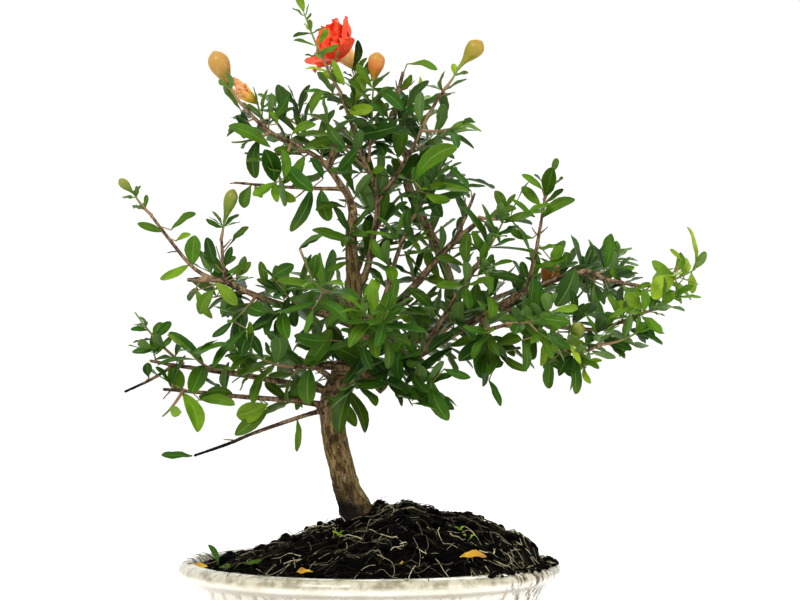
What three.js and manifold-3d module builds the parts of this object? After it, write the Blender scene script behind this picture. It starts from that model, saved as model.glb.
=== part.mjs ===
// Pomegranate bonsai in a round glazed pot.
// Millimetres, +Z up. The origin is the centre of the pot's flat base, on its underside.
// +X points to the tree's right as it is usually shown, +Y to its back.
import * as THREE from 'three';
import { mergeVertices } from 'three/addons/utils/BufferGeometryUtils.js';
import Module from 'manifold-3d';

const wasm = await Module();
wasm.setup();

// ---------------------------------------------------------------- driving dimensions

const GAP = 0.35; // clearance between pieces that touch
const CUT_MARGIN = 1; // how far a cutting solid stands out of what it cuts

const POT_SIDES = 32;
const POT_FLOOR = 8; // thickness of the base
const DRAIN_HOLE_RADIUS = 7;
const DRAIN_HOLE_OFFSET = 46; // from the pot's axis
const DRAIN_HOLE_ANGLES = [90, 210, 330];
const DRAIN_HOLE_SIDES = 12;
const SCREEN_RADIUS = 12;
const SCREEN_THICKNESS = 1.2;
const SCREEN_SIDES = 8;
const SCREEN_OPENING = 3; // half diagonal of its four square openings
const SCREEN_OPENING_OFFSET = 4; // from its middle, in x and in y

// Half sections [radius, height]: the pot's outside from base to lip, and its inside from lip to floor.
const POT_OUTSIDE = [
  [80, 0], [87, 3], [100, 13], [109, 26], [114, 40], [117.5, 50], [122.5, 51.5], [125, 56], [122.5, 60.5],
  [117.5, 62],
];
const POT_INSIDE = [[112, 60], [109.5, 55], [108, 46], [103.5, 32], [94, 18], [80, POT_FLOOR]];

// The top of the soil seen from the front: [x, height].
const SOIL_RIDGE = [
  [-110, 58], [-96, 65], [-58, 74], [-31, 84], [0, 93], [24, 100], [45, 93], [66, 90], [82, 84], [99, 77],
  [110, 70],
];
const SOIL_EDGE_HEIGHT = 57;
const SOIL_RINGS = [108, 94, 76, 56, 36, 16]; // radii of its top surface
const SOIL_REACH = 110; // radius at which the mound has come down to its edge
const SOIL_ROUNDNESS = 1.7; // of the mound: 1 is a straight slope
const SOIL_FOOT_RADIUS = 81;
const SOIL_WALL_GAP = 0.45; // between the soil and the pot's wall
const LUMP_HEIGHT = 1.5;
const LUMP_SIZE = 5;
const LUMP_DRIFT = 7; // how fast the rows of lumps wander
const HOLE_CLEARANCE = 0.4; // between the trunk and the soil

const BUD_SIDES = 8;
// Half sections [along, share of the radius].
const BUD_PROFILE = [
  [0, 0], [0, 0.2], [0.3, 0.24], [0.46, 0.55], [0.62, 0.93], [0.76, 1], [0.9, 0.7], [1, 0],
];
const CUP_SIDES = 12; // two for each lobe
const CUP_PROFILE = [
  [0, 0], [0, 0.28], [0.3, 0.5], [0.65, 0.88], [1, 1], [1, 0.78], [0.65, 0.62], [0.45, 0],
];
const LOBE_LENGTH = 0.28; // over the cup's length
const LOBE_FLARE = 1.3;
const PETAL_THICKNESS = 0.8;
const PETAL_ROWS = [0.12, 0.5, 1, 0.7]; // share of the width, from root to tip
const PETAL_COLUMNS = [-1, 0, 1];
const PETAL_CRUMPLE = 1.7; // height of its waves at the tip
const PETAL_WAVES = [5, 2.6]; // how many radians of wave run along it and across half of it
const PETAL_SHORT_SIDES = 0.16; // how far its sides fall short of its middle, over its length
const PETAL_CUPPING = 1.6; // how far its sides bend up
const PETAL_VARIETY = [0.85, 1.15]; // least and most share of its length and spread
const PETAL_HANG = 0.7; // how much wider the lower petals spread, and how much less the upper ones
const CORE_FOOT = 0.62; // from the cup's foot to the petals' core, over the cup's length
const CORE_LENGTH = 0.76; // over the cup's length
const CORE_RADIUS = 0.36; // over the cup's mouth radius
const PETAL_FOOT = 1.3; // from the cup's foot to the petals' roots, over the cup's length
const PETAL_ROOT_RADIUS = 0.72; // of the roots' circle, over the core's radius

const LEAF_THICKNESS = 0.75;
const LEAF_WIDTH_RATIO = 0.33; // width over length
const TWIG_RADIUS = 1.3;
const TWIG_TIP_RADIUS = 1.05;
const TWIG_SIDES = 4; // one for each leaf of two pairs that stand crosswise
const TWIG_RISE = 0.25; // how far a twig's tip turns up, over its length
const TIP_MARGIN = 1.6; // from the last pair of leaves to the twig's end
const TOPPED_MARGIN = 3.5; // the same where a bud or flower stands on the end
const STALK_HEIGHT = 1.4; // of a leaf stalk where it leaves the twig
const NODE_SPACING = 9; // between pairs of leaves
const ASIDE = [0, 0.4, -0.4, 0.75, -0.75, 0.2, -0.2, 1, -1]; // turns tried to find a leaf its room
const LEAF_VARIETY = [0.84, 1.16]; // least and most share of a spray's leaf length
const LEAF_FOLDS = [0.1, 0.45]; // least and most slope of a blade's two halves
const LEAF_DROOP = 0.2; // most that a tip hangs down, over the leaf's length
const TIP_SPREAD = 0.5; // between the last pair of leaves and the twig
const SPREADS = [0.8, 1.1]; // least and most between other leaves and the twig
const FACE_UP = 0.8; // how strongly the leaves' upper faces turn to the sky
const FACE_FORWARD = 0.25; // and to the front
const FACE_TO_TIP = 0.35; // and to their twig's tip
const YOUNG_SHARES = [0.62, 0.85]; // size of the last pairs of leaves, over the others
const FIRST_PAIR = 5; // least distance from the limb to the first pair
const FORKED_FROM = 33; // length from which a spray has side twigs
const YOUNG_SIZE = 20; // leaf length up to which a spray has none
const FORK_PAIRS = { 2: 0, 4: 2 }; // pairs, counted from the tip, that hold one, and on which side
const FORK_SHARE = 0.5; // its length, over the main twig's
const FORK_SPREAD = 0.75; // between it and the main twig
const FORK_LEAF_SIZE = 0.9; // over the main twig's leaves
const BLADE_EDGE = [[0.36, 0.9], [0.74, 0.84]]; // [along, across], of a blade's length and half width

const THICK_LIMB = 3.5; // root radius from which a limb is rounder
const THICK_LIMB_SIDES = 7;
const THIN_LIMB_SIDES = 4;
const AXIS_STEP = 0.01; // of a limb's length, to find the way it points

// Balls along each kind of piece, which keep later ones clear of it: [along, radius share].
const BARK_ROOM = 0.6; // clearance round wood
const LIMB_STATIONS = 5; // between two of a limb's points
const TWIG_STATIONS = [0.3, 0.5, 0.7, 0.85, 1];
const LEAF_STATIONS = [[0.3, 0.8], [0.5, 1], [0.7, 0.95], [0.9, 0.55]]; // of its length and half width
const BUD_STATIONS = [[0.3, 0.6], [0.5, 1.1], [0.7, 1.1], [0.9, 1.1]]; // of its length and half width
const CUP_STATION = [0.6, 1.2]; // of its length and mouth radius
const PETAL_STATION = [0.5, 0.55]; // both of a petal's length
const PETAL_STATION_START = 1.1; // over the cup's length

// ---------------------------------------------------------------- the tree's plan

// Each limb is a smooth line through points [x, y, z, radius].
const LIMBS = {
  trunk: [
    [-7, 0, 46, 10], [-7, 0, 84, 12.5], [-9, 0, 95, 10.8], [-14, -2, 107, 9], [-17, -3, 118, 8.3],
    [-21, -4, 134, 8.2], [-24, -4, 152, 8], [-24.5, -3, 166, 7.6], [-19, 0, 180, 7.2],
    [-11, 2, 194, 6.8], [-7, 3, 208, 6.2], [-9, 2, 226, 5.4], [-11, 1, 250, 4.6],
    [-12, 1, 273, 3.8], [-11, 0, 289, 3], [-16, -1, 304, 2.4],
  ],
  upper_left: [
    [-12, 0, 296, 2.4], [-27, -3, 317, 2], [-41, -5, 328, 1.7], [-66, -8, 341, 1.5], [-83, -10, 358, 1.2],
  ],
  leader: [
    [-10, 2, 232, 2.8], [-2, 4, 250, 2.4], [2, 6, 270, 2.2], [5, 6, 290, 2], [3, 5, 306, 1.8],
    [-3, 3, 321, 1.6], [-13, -2, 349, 1.4], [-19, -6, 366, 1.2],
  ],
  right_upper: [
    [4, 6, 294, 1.8], [17, 3, 312, 1.6], [28, 0, 330, 1.4], [40, -3, 354, 1.3], [49, -5, 368, 1.2],
  ],
  dark_limb: [
    [-8, 3, 204, 4], [18, 16, 204, 3.8], [44, 28, 210, 3.6], [56, 31, 224, 3.4], [52, 29, 246, 3.3],
    [43, 25, 268, 3.2], [33, 22, 288, 3.2], [25, 20, 307, 3.1], [26, 19, 322, 3], [17, 18, 337, 2.6],
    [14, 17, 352, 2.2],
  ],
  cut_leader: [[15, 17, 342, 2], [18, 16, 364, 1.5], [22, 16, 381, 1.3]],
  right_up: [
    [-8, 2, 210, 3], [14, -6, 226, 2.8], [29, -12, 240, 2.6], [49, -16, 263, 2.2], [72, -18, 283, 1.6],
  ],
  right_up_twig: [[54, -16, 267, 1.6], [62, -17, 285, 1.3], [68, -17, 300, 1.1]],
  inner_stem: [[-8, 1, 203, 2.4], [8, -10, 228, 2], [18, -16, 260, 1.5], [27, -18, 282, 1.2]],
  right_main: [
    [-16, 0, 186, 3.6], [6, -4, 187, 3.6], [24, -8, 192, 3.4], [40, -11, 201, 3.2], [72, -14, 220, 2.6],
    [102, -16, 237, 2.3], [137, -16, 249, 1.9], [153, -15, 244, 1.6], [175, -14, 240, 1.3],
  ],
  right_shoot: [[101, -16, 236, 1.7], [107, -17, 261, 1.4], [110, -18, 278, 1.2], [113, -18, 296, 1.1]],
  brown_stem: [[34, -10, 197, 2], [52, -22, 227, 1.6], [63, -28, 243, 1.4], [71, -32, 257, 1.2]],
  right_low: [
    [84, -15, 227, 2], [112, -26, 216, 1.7], [143, -32, 212, 1.5], [158, -34, 216, 1.3], [172, -34, 222, 1.1],
  ],
  right_lowest: [[96, -20, 222, 1.7], [112, -38, 206, 1.5], [131, -46, 198, 1.3], [148, -48, 203, 1.1]],
  left_mid: [
    [-8, 2, 214, 3.2], [-30, -6, 222, 2.6], [-57, -14, 228, 2.3], [-78, -18, 236, 2], [-93, -20, 243, 1.8],
    [-117, -22, 244, 1.5],
  ],
  left_tip: [[-97, -20, 243, 1.6], [-112, -21, 251, 1.4], [-125, -24, 266, 1.3], [-140, -27, 286, 1.1]],
  left_bud_stem: [[-92, -20, 242, 1.5], [-94, -19, 256, 1.3], [-95, -18, 270, 1.1]],
  left_a: [
    [-22, -3, 171, 3], [-45, -8, 176, 2.3], [-78, -12, 182, 1.9], [-105, -15, 186, 1.6],
    [-125, -18, 189, 1.4], [-141, -20, 192, 1.1],
  ],
  left_a_twig: [[-127, -18, 188, 1.3], [-140, -20, 180, 1.1], [-157, -23, 172, 1]],
  left_b: [
    [-24, -3, 162, 2.6], [-48, -14, 166, 1.9], [-82, -22, 169, 1.6], [-110, -26, 172, 1.4],
    [-132, -28, 174, 1.1],
  ],
  left_drooping: [
    [-26, -2, 160, 2.2], [-40, -12, 157, 1.6], [-73, -22, 146, 1.3], [-90, -26, 139, 1.2],
    [-112, -30, 131.5, 1],
  ],
  front_branch: [
    [10, -10, 174, 5], [2, -8, 180, 3.8], [-12, -6, 187, 3.4], [-32, -13, 188.5, 2.4], [-49, -20, 188, 1.6],
  ],
  left_straight_twig: [[-16, -1, 303, 1.6], [-52, -6, 304, 1.2], [-88, -8, 307, 1]],
  left_cut_twig: [[-41, -5, 327.5, 1.4], [-62, -7, 325, 1.1], [-81, -8, 326, 1]],
  gnarled_stub: [[-27, -3, 316, 2], [-24, -4, 324, 2.9], [-19, -4, 332, 3]],
  back_left: [[-8, 4, 212, 3], [-14, 30, 222, 2.2], [-26, 60, 234, 1.4]],
  back_right: [[-12, 2, 190, 3.2], [4, 34, 198, 2.2], [22, 64, 206, 1.4]],
  back_high: [[-10, 2, 246, 2.4], [-4, 26, 262, 1.8], [2, 48, 280, 1.3]],
  back_low: [[-20, 1, 176, 2.6], [-32, 28, 184, 2], [-48, 57, 192, 1.4]],
  back_far_right: [[50, 29, 216, 2.2], [78, 42, 230, 1.9], [106, 52, 240, 1.6], [134, 56, 246, 1.2]],
  front_low: [[-12, -2, 196, 2.4], [-6, -30, 204, 1.9], [4, -54, 212, 1.3]],
  front_high: [[-9, 0, 222, 2.2], [-15, -26, 229, 1.8], [-22, -48, 236, 1.3]],
  front_right: [[58, -13, 212, 2], [74, -36, 212, 1.6], [88, -56, 216, 1.3]],
};

// The crown's outline as seen from the front, as [x, z]. Leaves stay inside it.
const CROWN_OUTLINE = [
  [-54, 430], [-40, 430], [-33, 414], [-8, 412], [11, 396], [46, 390], [54, 377], [55, 400],
  [76, 400], [76, 383], [52, 356], [52, 347], [71, 345], [71, 334], [60, 325], [62, 312],
  [95, 301], [97, 318], [124, 322], [124, 303], [137, 299], [119, 279], [147, 270], [164, 274],
  [191, 257], [203, 282], [216, 282], [216, 232], [190, 217], [188, 202], [150, 193], [133, 170],
  [121, 169], [108, 182], [90, 188], [80, 176], [56, 174], [55, 150], [47, 150], [35, 164],
  [4, 161], [0, 144], [-9, 144], [-43, 156], [-66, 157], [-76, 137], [-90, 137], [-94, 150],
  [-106, 143], [-121, 144], [-128, 166], [-160, 168], [-151, 184], [-160, 199], [-158, 222],
  [-146, 225], [-138, 215], [-127, 220], [-122, 206], [-104, 204], [-90, 216], [-117, 226],
  [-117, 238], [-139, 241], [-140, 251], [-126, 260], [-154, 277], [-153, 284], [-145, 288],
  [-167, 299], [-169, 314], [-156, 314], [-134, 292], [-111, 292], [-110, 275], [-99, 275],
  [-109, 283], [-107, 290], [-98, 288], [-97, 306], [-80, 306], [-82, 292], [-76, 278],
  [-80, 266], [-32, 264], [-36, 278], [-17, 279], [-32, 284], [-33, 296], [-39, 296], [-45, 274],
  [-54, 275], [-56, 293], [-80, 292], [-80, 308], [-92, 310], [-84, 331], [-93, 336], [-93, 347],
  [-85, 353], [-108, 380], [-108, 395], [-88, 396], [-85, 380], [-46, 370], [-45, 387], [-53, 413],
];

// Each spray is a green twig with its leaves: the limb it grows from, how far along (1 is the
// limb's tip), the way it reaches [x, y, z], the length of its leaves, and its tone.
const SPRAYS = {
  top_shoot: ['leader', 1, [-23, -6, 50], 13, 'light'],
  under_flower: ['leader', 0.86, [4, 24, 30], 24, 'mid'],
  under_orange_bud: ['leader', 0.72, [3, -9, 50], 24, 'dark'],
  leader_left: ['leader', 0.7, [-24, -20, 28], 27, 'mid'],
  leader_back: ['leader', 0.74, [-8, 36, 14], 28, 'mid'],
  upper_left_tip: ['upper_left', 1, [-8, 0, 13], 18, 'light'],
  upper_left_outer: ['upper_left', 0.74, [-22, -10, -6], 24, 'dark'],
  upper_left_under: ['upper_left', 0.6, [-10, -14, -26], 27, 'mid'],
  under_half_open_flower: ['upper_left', 0.78, [-5, 15, 14], 22, 'mid'],
  upper_left_back: ['upper_left', 0.5, [-8, 34, 32], 27, 'dark'],
  right_upper_tip: ['right_upper', 1, [8, -1, 12], 17, 'light'],
  right_upper_side: ['right_upper', 0.62, [26, -16, 4], 27, 'mid'],
  right_upper_back: ['right_upper', 0.5, [14, 36, 12], 27, 'dark'],
  dark_limb_top: ['dark_limb', 0.93, [16, 24, 24], 27, 'mid'],
  dark_limb_right: ['dark_limb', 0.74, [37, -4, -2], 28, 'dark'],
  right_up_tip: ['right_up', 1, [28, -8, 2], 28, 'mid'],
  under_hidden_bud: ['right_main', 0.55, [28, 12, 13], 24, 'mid'],
  inner_tip: ['inner_stem', 1, [16, -14, 28], 29, 'dark'],
  right_tip: ['right_main', 1, [34, -2, 11], 24, 'light'],
  right_shoot_tip: ['right_shoot', 1, [6, 0, 18], 20, 'mid'],
  right_main_back: ['right_main', 0.72, [18, 36, 8], 28, 'dark'],
  right_main_under: ['right_main', 0.5, [10, -22, -22], 33, 'dark'],
  brown_stem_tip: ['brown_stem', 1, [14, -14, 24], 29, 'mid'],
  right_low_tip: ['right_low', 1, [24, -2, 12], 22, 'mid'],
  under_pale_bud: ['right_lowest', 0.3, [18, -19, -6], 21, 'light'],
  right_lowest_tip: ['right_lowest', 1, [22, -2, 8], 24, 'mid'],
  right_lowest_sprig: ['right_lowest', 0.45, [19, -6, -12], 23, 'light'],
  left_mid_under: ['left_mid', 0.55, [-13, -18, -14], 28, 'dark'],
  left_mid_inner: ['left_mid', 0.3, [-12, -34, 12], 31, 'dark'],
  left_mid_back: ['left_mid', 0.6, [-22, 34, 6], 28, 'mid'],
  left_tip_end: ['left_tip', 1, [-11, -1, 14], 13, 'mid'],
  under_left_bud: ['left_bud_stem', 1, [2, 0, 12], 18, 'mid'],
  left_a_side: ['left_a', 0.58, [-13, -21, 13], 26, 'mid'],
  left_rise: ['left_a', 0.76, [-30, 3, 32], 16, 'dark'],
  left_b_side: ['left_b', 0.86, [-11, -10, -14], 28, 'mid'],
  front_branch_tip: ['front_branch', 1, [-26, -18, 10], 29, 'mid'],
  front_knot: ['front_branch', 0.12, [30, -22, -4], 34, 'dark'],
  front_branch_under: ['front_branch', 0.5, [4, -22, -10], 36, 'dark'],
  front_low_tip: ['front_low', 1, [8, -38, 12], 29, 'mid'],
  front_high_tip: ['front_high', 1, [-12, -38, 7], 29, 'mid'],
  front_right_tip: ['front_right', 1, [24, -30, 8], 28, 'mid'],
  back_left_tip: ['back_left', 1, [-12, 35, 11], 29, 'dark'],
  back_right_tip: ['back_right', 1, [19, 40, 10], 29, 'mid'],
  back_high_tip: ['back_high', 1, [8, 36, 26], 28, 'mid'],
  back_low_tip: ['back_low', 1, [-14, 34, 8], 28, 'dark'],
  back_far_right_tip: ['back_far_right', 1, [32, 6, 13], 27, 'mid'],
};

// Each bud stands on a spray's end: the way it reaches, its half width, and its tone. A green one
// is one piece with its spray.
const BUDS = {
  golden_bud: ['upper_left_tip', [-9, 0, 20], 7, 'golden'],
  orange_bud: ['under_orange_bud', [3, -2, 18], 5.6, 'orange'],
  right_bud: ['right_upper_tip', [15, 0, 18], 6, 'olive'],
  hidden_bud: ['under_hidden_bud', [7, 1, 15], 7, 'orange'],
  left_tip_bud: ['left_tip_end', [-9, 0, 9], 3.2, 'green'],
  left_bud: ['under_left_bud', [6, 0, 21], 4.4, 'green'],
  pale_bud: ['under_pale_bud', [5, 0, 13], 4.8, 'green'],
};

// Each flower stands on a spray's end: the way it looks, the length of its cup and the radius of
// its mouth, and how many petals it has, how long and wide they are, and how far they spread.
const FLOWERS = {
  open_flower: {
    spray: 'under_flower', reach: [-11, -4, 13], cup: 16, mouth: 6.6, petals: 6, length: 23, width: 17,
    spread: 0.85,
  },
  half_open_flower: {
    spray: 'under_half_open_flower', reach: [-13, -2, 10], cup: 10, mouth: 4.4, petals: 4, length: 11,
    width: 6.5, spread: 0.45,
  },
};

const TOPPED = new Set([
  ...Object.values(BUDS).map(([spray]) => spray),
  ...Object.values(FLOWERS).map(({ spray }) => spray),
]);

// ---------------------------------------------------------------- solids

function toSolid(geometry) {
  const bare = geometry.clone();
  bare.deleteAttribute('normal');
  bare.deleteAttribute('uv');
  const merged = mergeVertices(bare, 1e-4);
  const mesh = new wasm.Mesh({
    numProp: 3,
    vertProperties: new Float32Array(merged.attributes.position.array),
    triVerts: new Uint32Array(merged.index.array),
  });
  return new wasm.Manifold(mesh);
}

function toGeometry(solid) {
  const mesh = solid.getMesh();
  const geometry = new THREE.BufferGeometry();
  geometry.setAttribute('position', new THREE.BufferAttribute(mesh.vertProperties, 3));
  geometry.setIndex(new THREE.BufferAttribute(mesh.triVerts, 1));
  geometry.computeVertexNormals();
  return geometry;
}

function join(solids) {
  return wasm.Manifold.union(solids);
}

// A repeatable sequence of numbers from 0 to 1.
function randomFrom(seed) {
  let state = seed * 7919 + 17;
  return () => {
    state = (state * 16807) % 2147483647;
    return state / 2147483647;
  };
}

function between([least, most], share) {
  return THREE.MathUtils.lerp(least, most, share);
}

function vector(point) {
  return new THREE.Vector3(point[0], point[1], point[2]);
}

// ---------------------------------------------------------------- wood

function limbCurve(points) {
  return new THREE.CatmullRomCurve3(points.map(vector), false, 'catmullrom', 0.5);
}

function radiusAlong(points, t) {
  const place = t * (points.length - 1);
  const index = Math.min(Math.floor(place), points.length - 2);
  return THREE.MathUtils.lerp(points[index][3], points[index + 1][3], place - index);
}

// A closed cylinder bent along a curve, with its own radius at each height.
function bentTube(curve, radiusAt, sides, steps) {
  const geometry = new THREE.CylinderGeometry(1, 1, 1, sides, steps);
  const frames = curve.computeFrenetFrames(steps, false);
  const position = geometry.attributes.position;
  for (let i = 0; i < position.count; i += 1) {
    const step = Math.round((position.getY(i) + 0.5) * steps);
    const t = step / steps;
    const place = curve.getPoint(t);
    place.addScaledVector(frames.normals[step], position.getX(i) * radiusAt(t));
    place.addScaledVector(frames.binormals[step], -position.getZ(i) * radiusAt(t));
    position.setXYZ(i, place.x, place.y, place.z);
  }
  return geometry;
}

function limbSolid(points) {
  const thick = points[0][3] > THICK_LIMB;
  const sides = thick ? THICK_LIMB_SIDES : THIN_LIMB_SIDES;
  return toSolid(bentTube(limbCurve(points), (t) => radiusAlong(points, t), sides, points.length - 1));
}

// ---------------------------------------------------------------- leaves and twigs

// Balls that stand for what is already in place, so that nothing grown later runs through it.
const taken = [];

function takeLimbs() {
  for (const points of Object.values(LIMBS)) {
    const curve = limbCurve(points);
    const count = (points.length - 1) * LIMB_STATIONS;
    for (let i = 0; i <= count; i += 1) {
      const t = i / count;
      taken.push({ place: curve.getPoint(t), radius: radiusAlong(points, t) + BARK_ROOM });
    }
  }
}

function isClear(balls) {
  for (const ball of balls) {
    for (const other of taken) {
      const reach = ball.radius + other.radius;
      if (ball.place.distanceToSquared(other.place) < reach * reach) {
        return false;
      }
    }
  }
  return true;
}

// A twig leaves the limb's side just clear of the bark, or goes on from the limb's tip,
// and turns up a little towards the light.
function twigOf(limb, along, reach) {
  const points = LIMBS[limb];
  const curve = limbCurve(points);
  const heading = vector(reach).normalize();
  const middle = Math.min(along, 1 - AXIS_STEP);
  const axis = curve.getPoint(middle + AXIS_STEP).sub(curve.getPoint(middle - AXIS_STEP)).normalize();
  const lean = heading.dot(axis);
  const start = curve.getPoint(along);
  if (along === 1) {
    start.addScaledVector(axis, GAP + TWIG_RADIUS * Math.sqrt(1 - lean * lean));
  } else {
    const outward = heading.clone().addScaledVector(axis, -lean).normalize();
    start.addScaledVector(outward, radiusAlong(points, along) + TWIG_RADIUS * Math.abs(lean) + GAP);
  }
  const length = vector(reach).length();
  return { start, reach: vector(reach), rise: TWIG_RISE * length, length };
}

function twigPoint(twig, t) {
  const place = twig.start.clone().addScaledVector(twig.reach, t);
  place.z += twig.rise * (t * t - t);
  return place;
}

// The twig's own directions at t: along it, and two across it.
function twigFrame(twig, t) {
  const axis = twig.reach.clone();
  axis.z += twig.rise * (2 * t - 1);
  axis.normalize();
  const [x, y, z] = twig.reach.toArray().map(Math.abs);
  const least = x <= y && x <= z ? [1, 0, 0] : y <= z ? [0, 1, 0] : [0, 0, 1];
  const across = new THREE.Vector3().crossVectors(axis, vector(least)).normalize();
  const third = new THREE.Vector3().crossVectors(axis, across);
  return { axis, across, third };
}

function outwardAt(frame, turn) {
  const outward = frame.across.clone().multiplyScalar(Math.cos(turn));
  return outward.addScaledVector(frame.third, Math.sin(turn));
}

function twigRadius(t) {
  return THREE.MathUtils.lerp(TWIG_RADIUS, TWIG_TIP_RADIUS, t);
}

function leafPoint(leaf, along, across) {
  const halfWidth = leaf.length * LEAF_WIDTH_RATIO * 0.5;
  const lift = leaf.fold * halfWidth * Math.abs(across) - leaf.droop * leaf.length * along * along;
  const place = leaf.root.clone().addScaledVector(leaf.heading, along * leaf.length);
  place.addScaledVector(leaf.side, across * halfWidth);
  return place.addScaledVector(leaf.face, lift);
}

function leafBalls(leaf) {
  return LEAF_STATIONS.map(([along, share]) => ({
    place: leafPoint(leaf, along, 0),
    radius: leaf.length * LEAF_WIDTH_RATIO * 0.5 * share,
  }));
}

// A leaf stands on one of the twig's four sides. It is told by its root, the way it points,
// the way its upper face looks, and its size.
function makeLeaf(twig, t, turn, aside, spread, length, chance) {
  const frame = twigFrame(twig, t);
  const root = twigPoint(twig, t).addScaledVector(outwardAt(frame, turn), twigRadius(t) * Math.SQRT1_2);
  const heading = frame.axis.clone().multiplyScalar(Math.cos(spread));
  heading.addScaledVector(outwardAt(frame, turn + aside), Math.sin(spread));
  const face = new THREE.Vector3(chance[0] - 0.5, chance[1] - 0.5 - FACE_FORWARD, FACE_UP);
  face.addScaledVector(frame.axis, FACE_TO_TIP);
  face.addScaledVector(heading, -face.dot(heading)).normalize();
  const side = new THREE.Vector3().crossVectors(face, heading);
  const fold = between(LEAF_FOLDS, chance[2]);
  return { root, heading, face, side, length, fold, droop: LEAF_DROOP * chance[3] };
}

function isInCrown({ x, z }) {
  let inside = false;
  CROWN_OUTLINE.forEach(([x1, z1], index) => {
    const [x2, z2] = CROWN_OUTLINE[(index + 1) % CROWN_OUTLINE.length];
    const crossed = (z1 > z) !== (z2 > z) && x < x1 + ((z - z1) * (x2 - x1)) / (z2 - z1);
    inside = inside !== crossed;
  });
  return inside;
}

function hasRoom(leaf) {
  const balls = leafBalls(leaf);
  return balls.every(({ place }) => isInCrown(place)) && isClear(balls);
}

// Turns tried, in order, until a leaf has room. A leaf that finds none is left out.
function findLeaf(shoot, t, side, spread, length, random) {
  const chance = [random(), random(), random(), random()];
  const turn = shoot.turn + side * (Math.PI / 2);
  const tries = ASIDE.map((aside) => makeLeaf(shoot.twig, t, turn, aside, spread, length, chance));
  return tries.find(hasRoom);
}

// A side twig stands on one side of its twig as a leaf does.
function forkOf(shoot, t, side) {
  const frame = twigFrame(shoot.twig, t);
  const outward = outwardAt(frame, shoot.turn + side * (Math.PI / 2));
  const tangent = outwardAt(frame, shoot.turn + (side + 1) * (Math.PI / 2));
  const length = FORK_SHARE * shoot.twig.length;
  const reach = frame.axis.clone().multiplyScalar(length * Math.cos(FORK_SPREAD));
  reach.addScaledVector(outward, length * Math.sin(FORK_SPREAD));
  const start = twigPoint(shoot.twig, t).addScaledVector(outward, twigRadius(t) * Math.SQRT1_2);
  const twig = { start, reach, rise: TWIG_RISE * length, length };
  const corner = frame.axis.clone().multiplyScalar(-STALK_HEIGHT);
  corner.addScaledVector(tangent, -twigRadius(t) * Math.SQRT2);
  const own = twigFrame(twig, 0);
  return { twig, turn: Math.atan2(corner.dot(own.third), corner.dot(own.across)) + Math.PI / 4 };
}

function twigBalls(twig) {
  const radius = TWIG_RADIUS + BARK_ROOM;
  return TWIG_STATIONS.map((t) => ({ place: twigPoint(twig, t), radius }));
}

// Pairs of leaves stand crosswise along a shoot, from its tip down. On a long one a side twig
// takes the place of a leaf here and there.
function growShoot(shoot, size, random, forks, topped) {
  const { twig } = shoot;
  const margin = topped ? TOPPED_MARGIN : TIP_MARGIN;
  const pairCount = Math.floor((twig.length - margin - FIRST_PAIR) / NODE_SPACING) + 1;
  const nodes = [];
  for (let pair = 0; pair < pairCount; pair += 1) {
    const t = 1 - (margin + pair * NODE_SPACING) / twig.length;
    const young = YOUNG_SHARES[pair] ?? 1;
    const spread = pair === 0 && !topped ? TIP_SPREAD : between(SPREADS, random());
    const node = { t, leaves: [], shoots: [] };
    for (const half of [0, 2]) {
      const side = (pair % 2) + half;
      const fork = forkOf(shoot, t, side);
      if (forks && FORK_PAIRS[pair] === half && isClear(twigBalls(fork.twig))) {
        taken.push(...twigBalls(fork.twig));
        const grown = growShoot(fork, FORK_LEAF_SIZE * size, random, false, false);
        node.shoots.push({ ...grown, twigSide: side });
        continue;
      }
      const length = size * young * between(LEAF_VARIETY, random());
      const leaf = findLeaf(shoot, t, side, spread, length, random);
      if (leaf) {
        node.leaves.push({ ...leaf, twigSide: side });
        taken.push(...leafBalls(leaf));
      }
    }
    nodes.push(node);
  }
  return { ...shoot, nodes: nodes.reverse() };
}

function growSpray(name, seed) {
  const [limb, along, reach, size] = SPRAYS[name];
  const random = randomFrom(seed);
  const twig = twigOf(limb, along, reach);
  const forks = twig.length > FORKED_FROM && size > YOUNG_SIZE;
  const shoot = growShoot({ twig, turn: random() * Math.PI }, size, random, forks, TOPPED.has(name));
  taken.push(...twigBalls(twig));
  return shoot;
}

// Points and faces of a surface that is closed piece by piece.
function newSkin() {
  return { points: [], faces: [] };
}

function addPoint(skin, place) {
  skin.points.push(place);
  return skin.points.length - 1;
}

function addQuad(skin, a, b, c, d) {
  skin.faces.push(a, b, c, a, c, d);
}

function addRing(skin, shoot, t) {
  const frame = twigFrame(shoot.twig, t);
  const middle = twigPoint(shoot.twig, t);
  return [...Array(TWIG_SIDES).keys()].map((side) => {
    const outward = outwardAt(frame, shoot.turn + (side - 0.5) * (Math.PI / 2));
    return addPoint(skin, middle.clone().addScaledVector(outward, twigRadius(t)));
  });
}

// The four corners of the twig that carry a leaf, in the order that twists its stalk least:
// lower left, lower right, upper right, upper left.
function stalkCorners(skin, leaf, corners) {
  const towards = [[-1, -1], [1, -1], [1, 1], [-1, 1]].map(([across, up]) =>
    leaf.side.clone().multiplyScalar(across).addScaledVector(leaf.face, up));
  const fit = (shift) => towards.reduce((sum, direction, i) =>
    sum + direction.dot(skin.points[corners[(i + shift) % 4]]), 0);
  const best = [0, 1, 2, 3].reduce((a, b) => (fit(b) > fit(a) ? b : a));
  return [0, 1, 2, 3].map((i) => corners[(i + best) % 4]);
}

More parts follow.
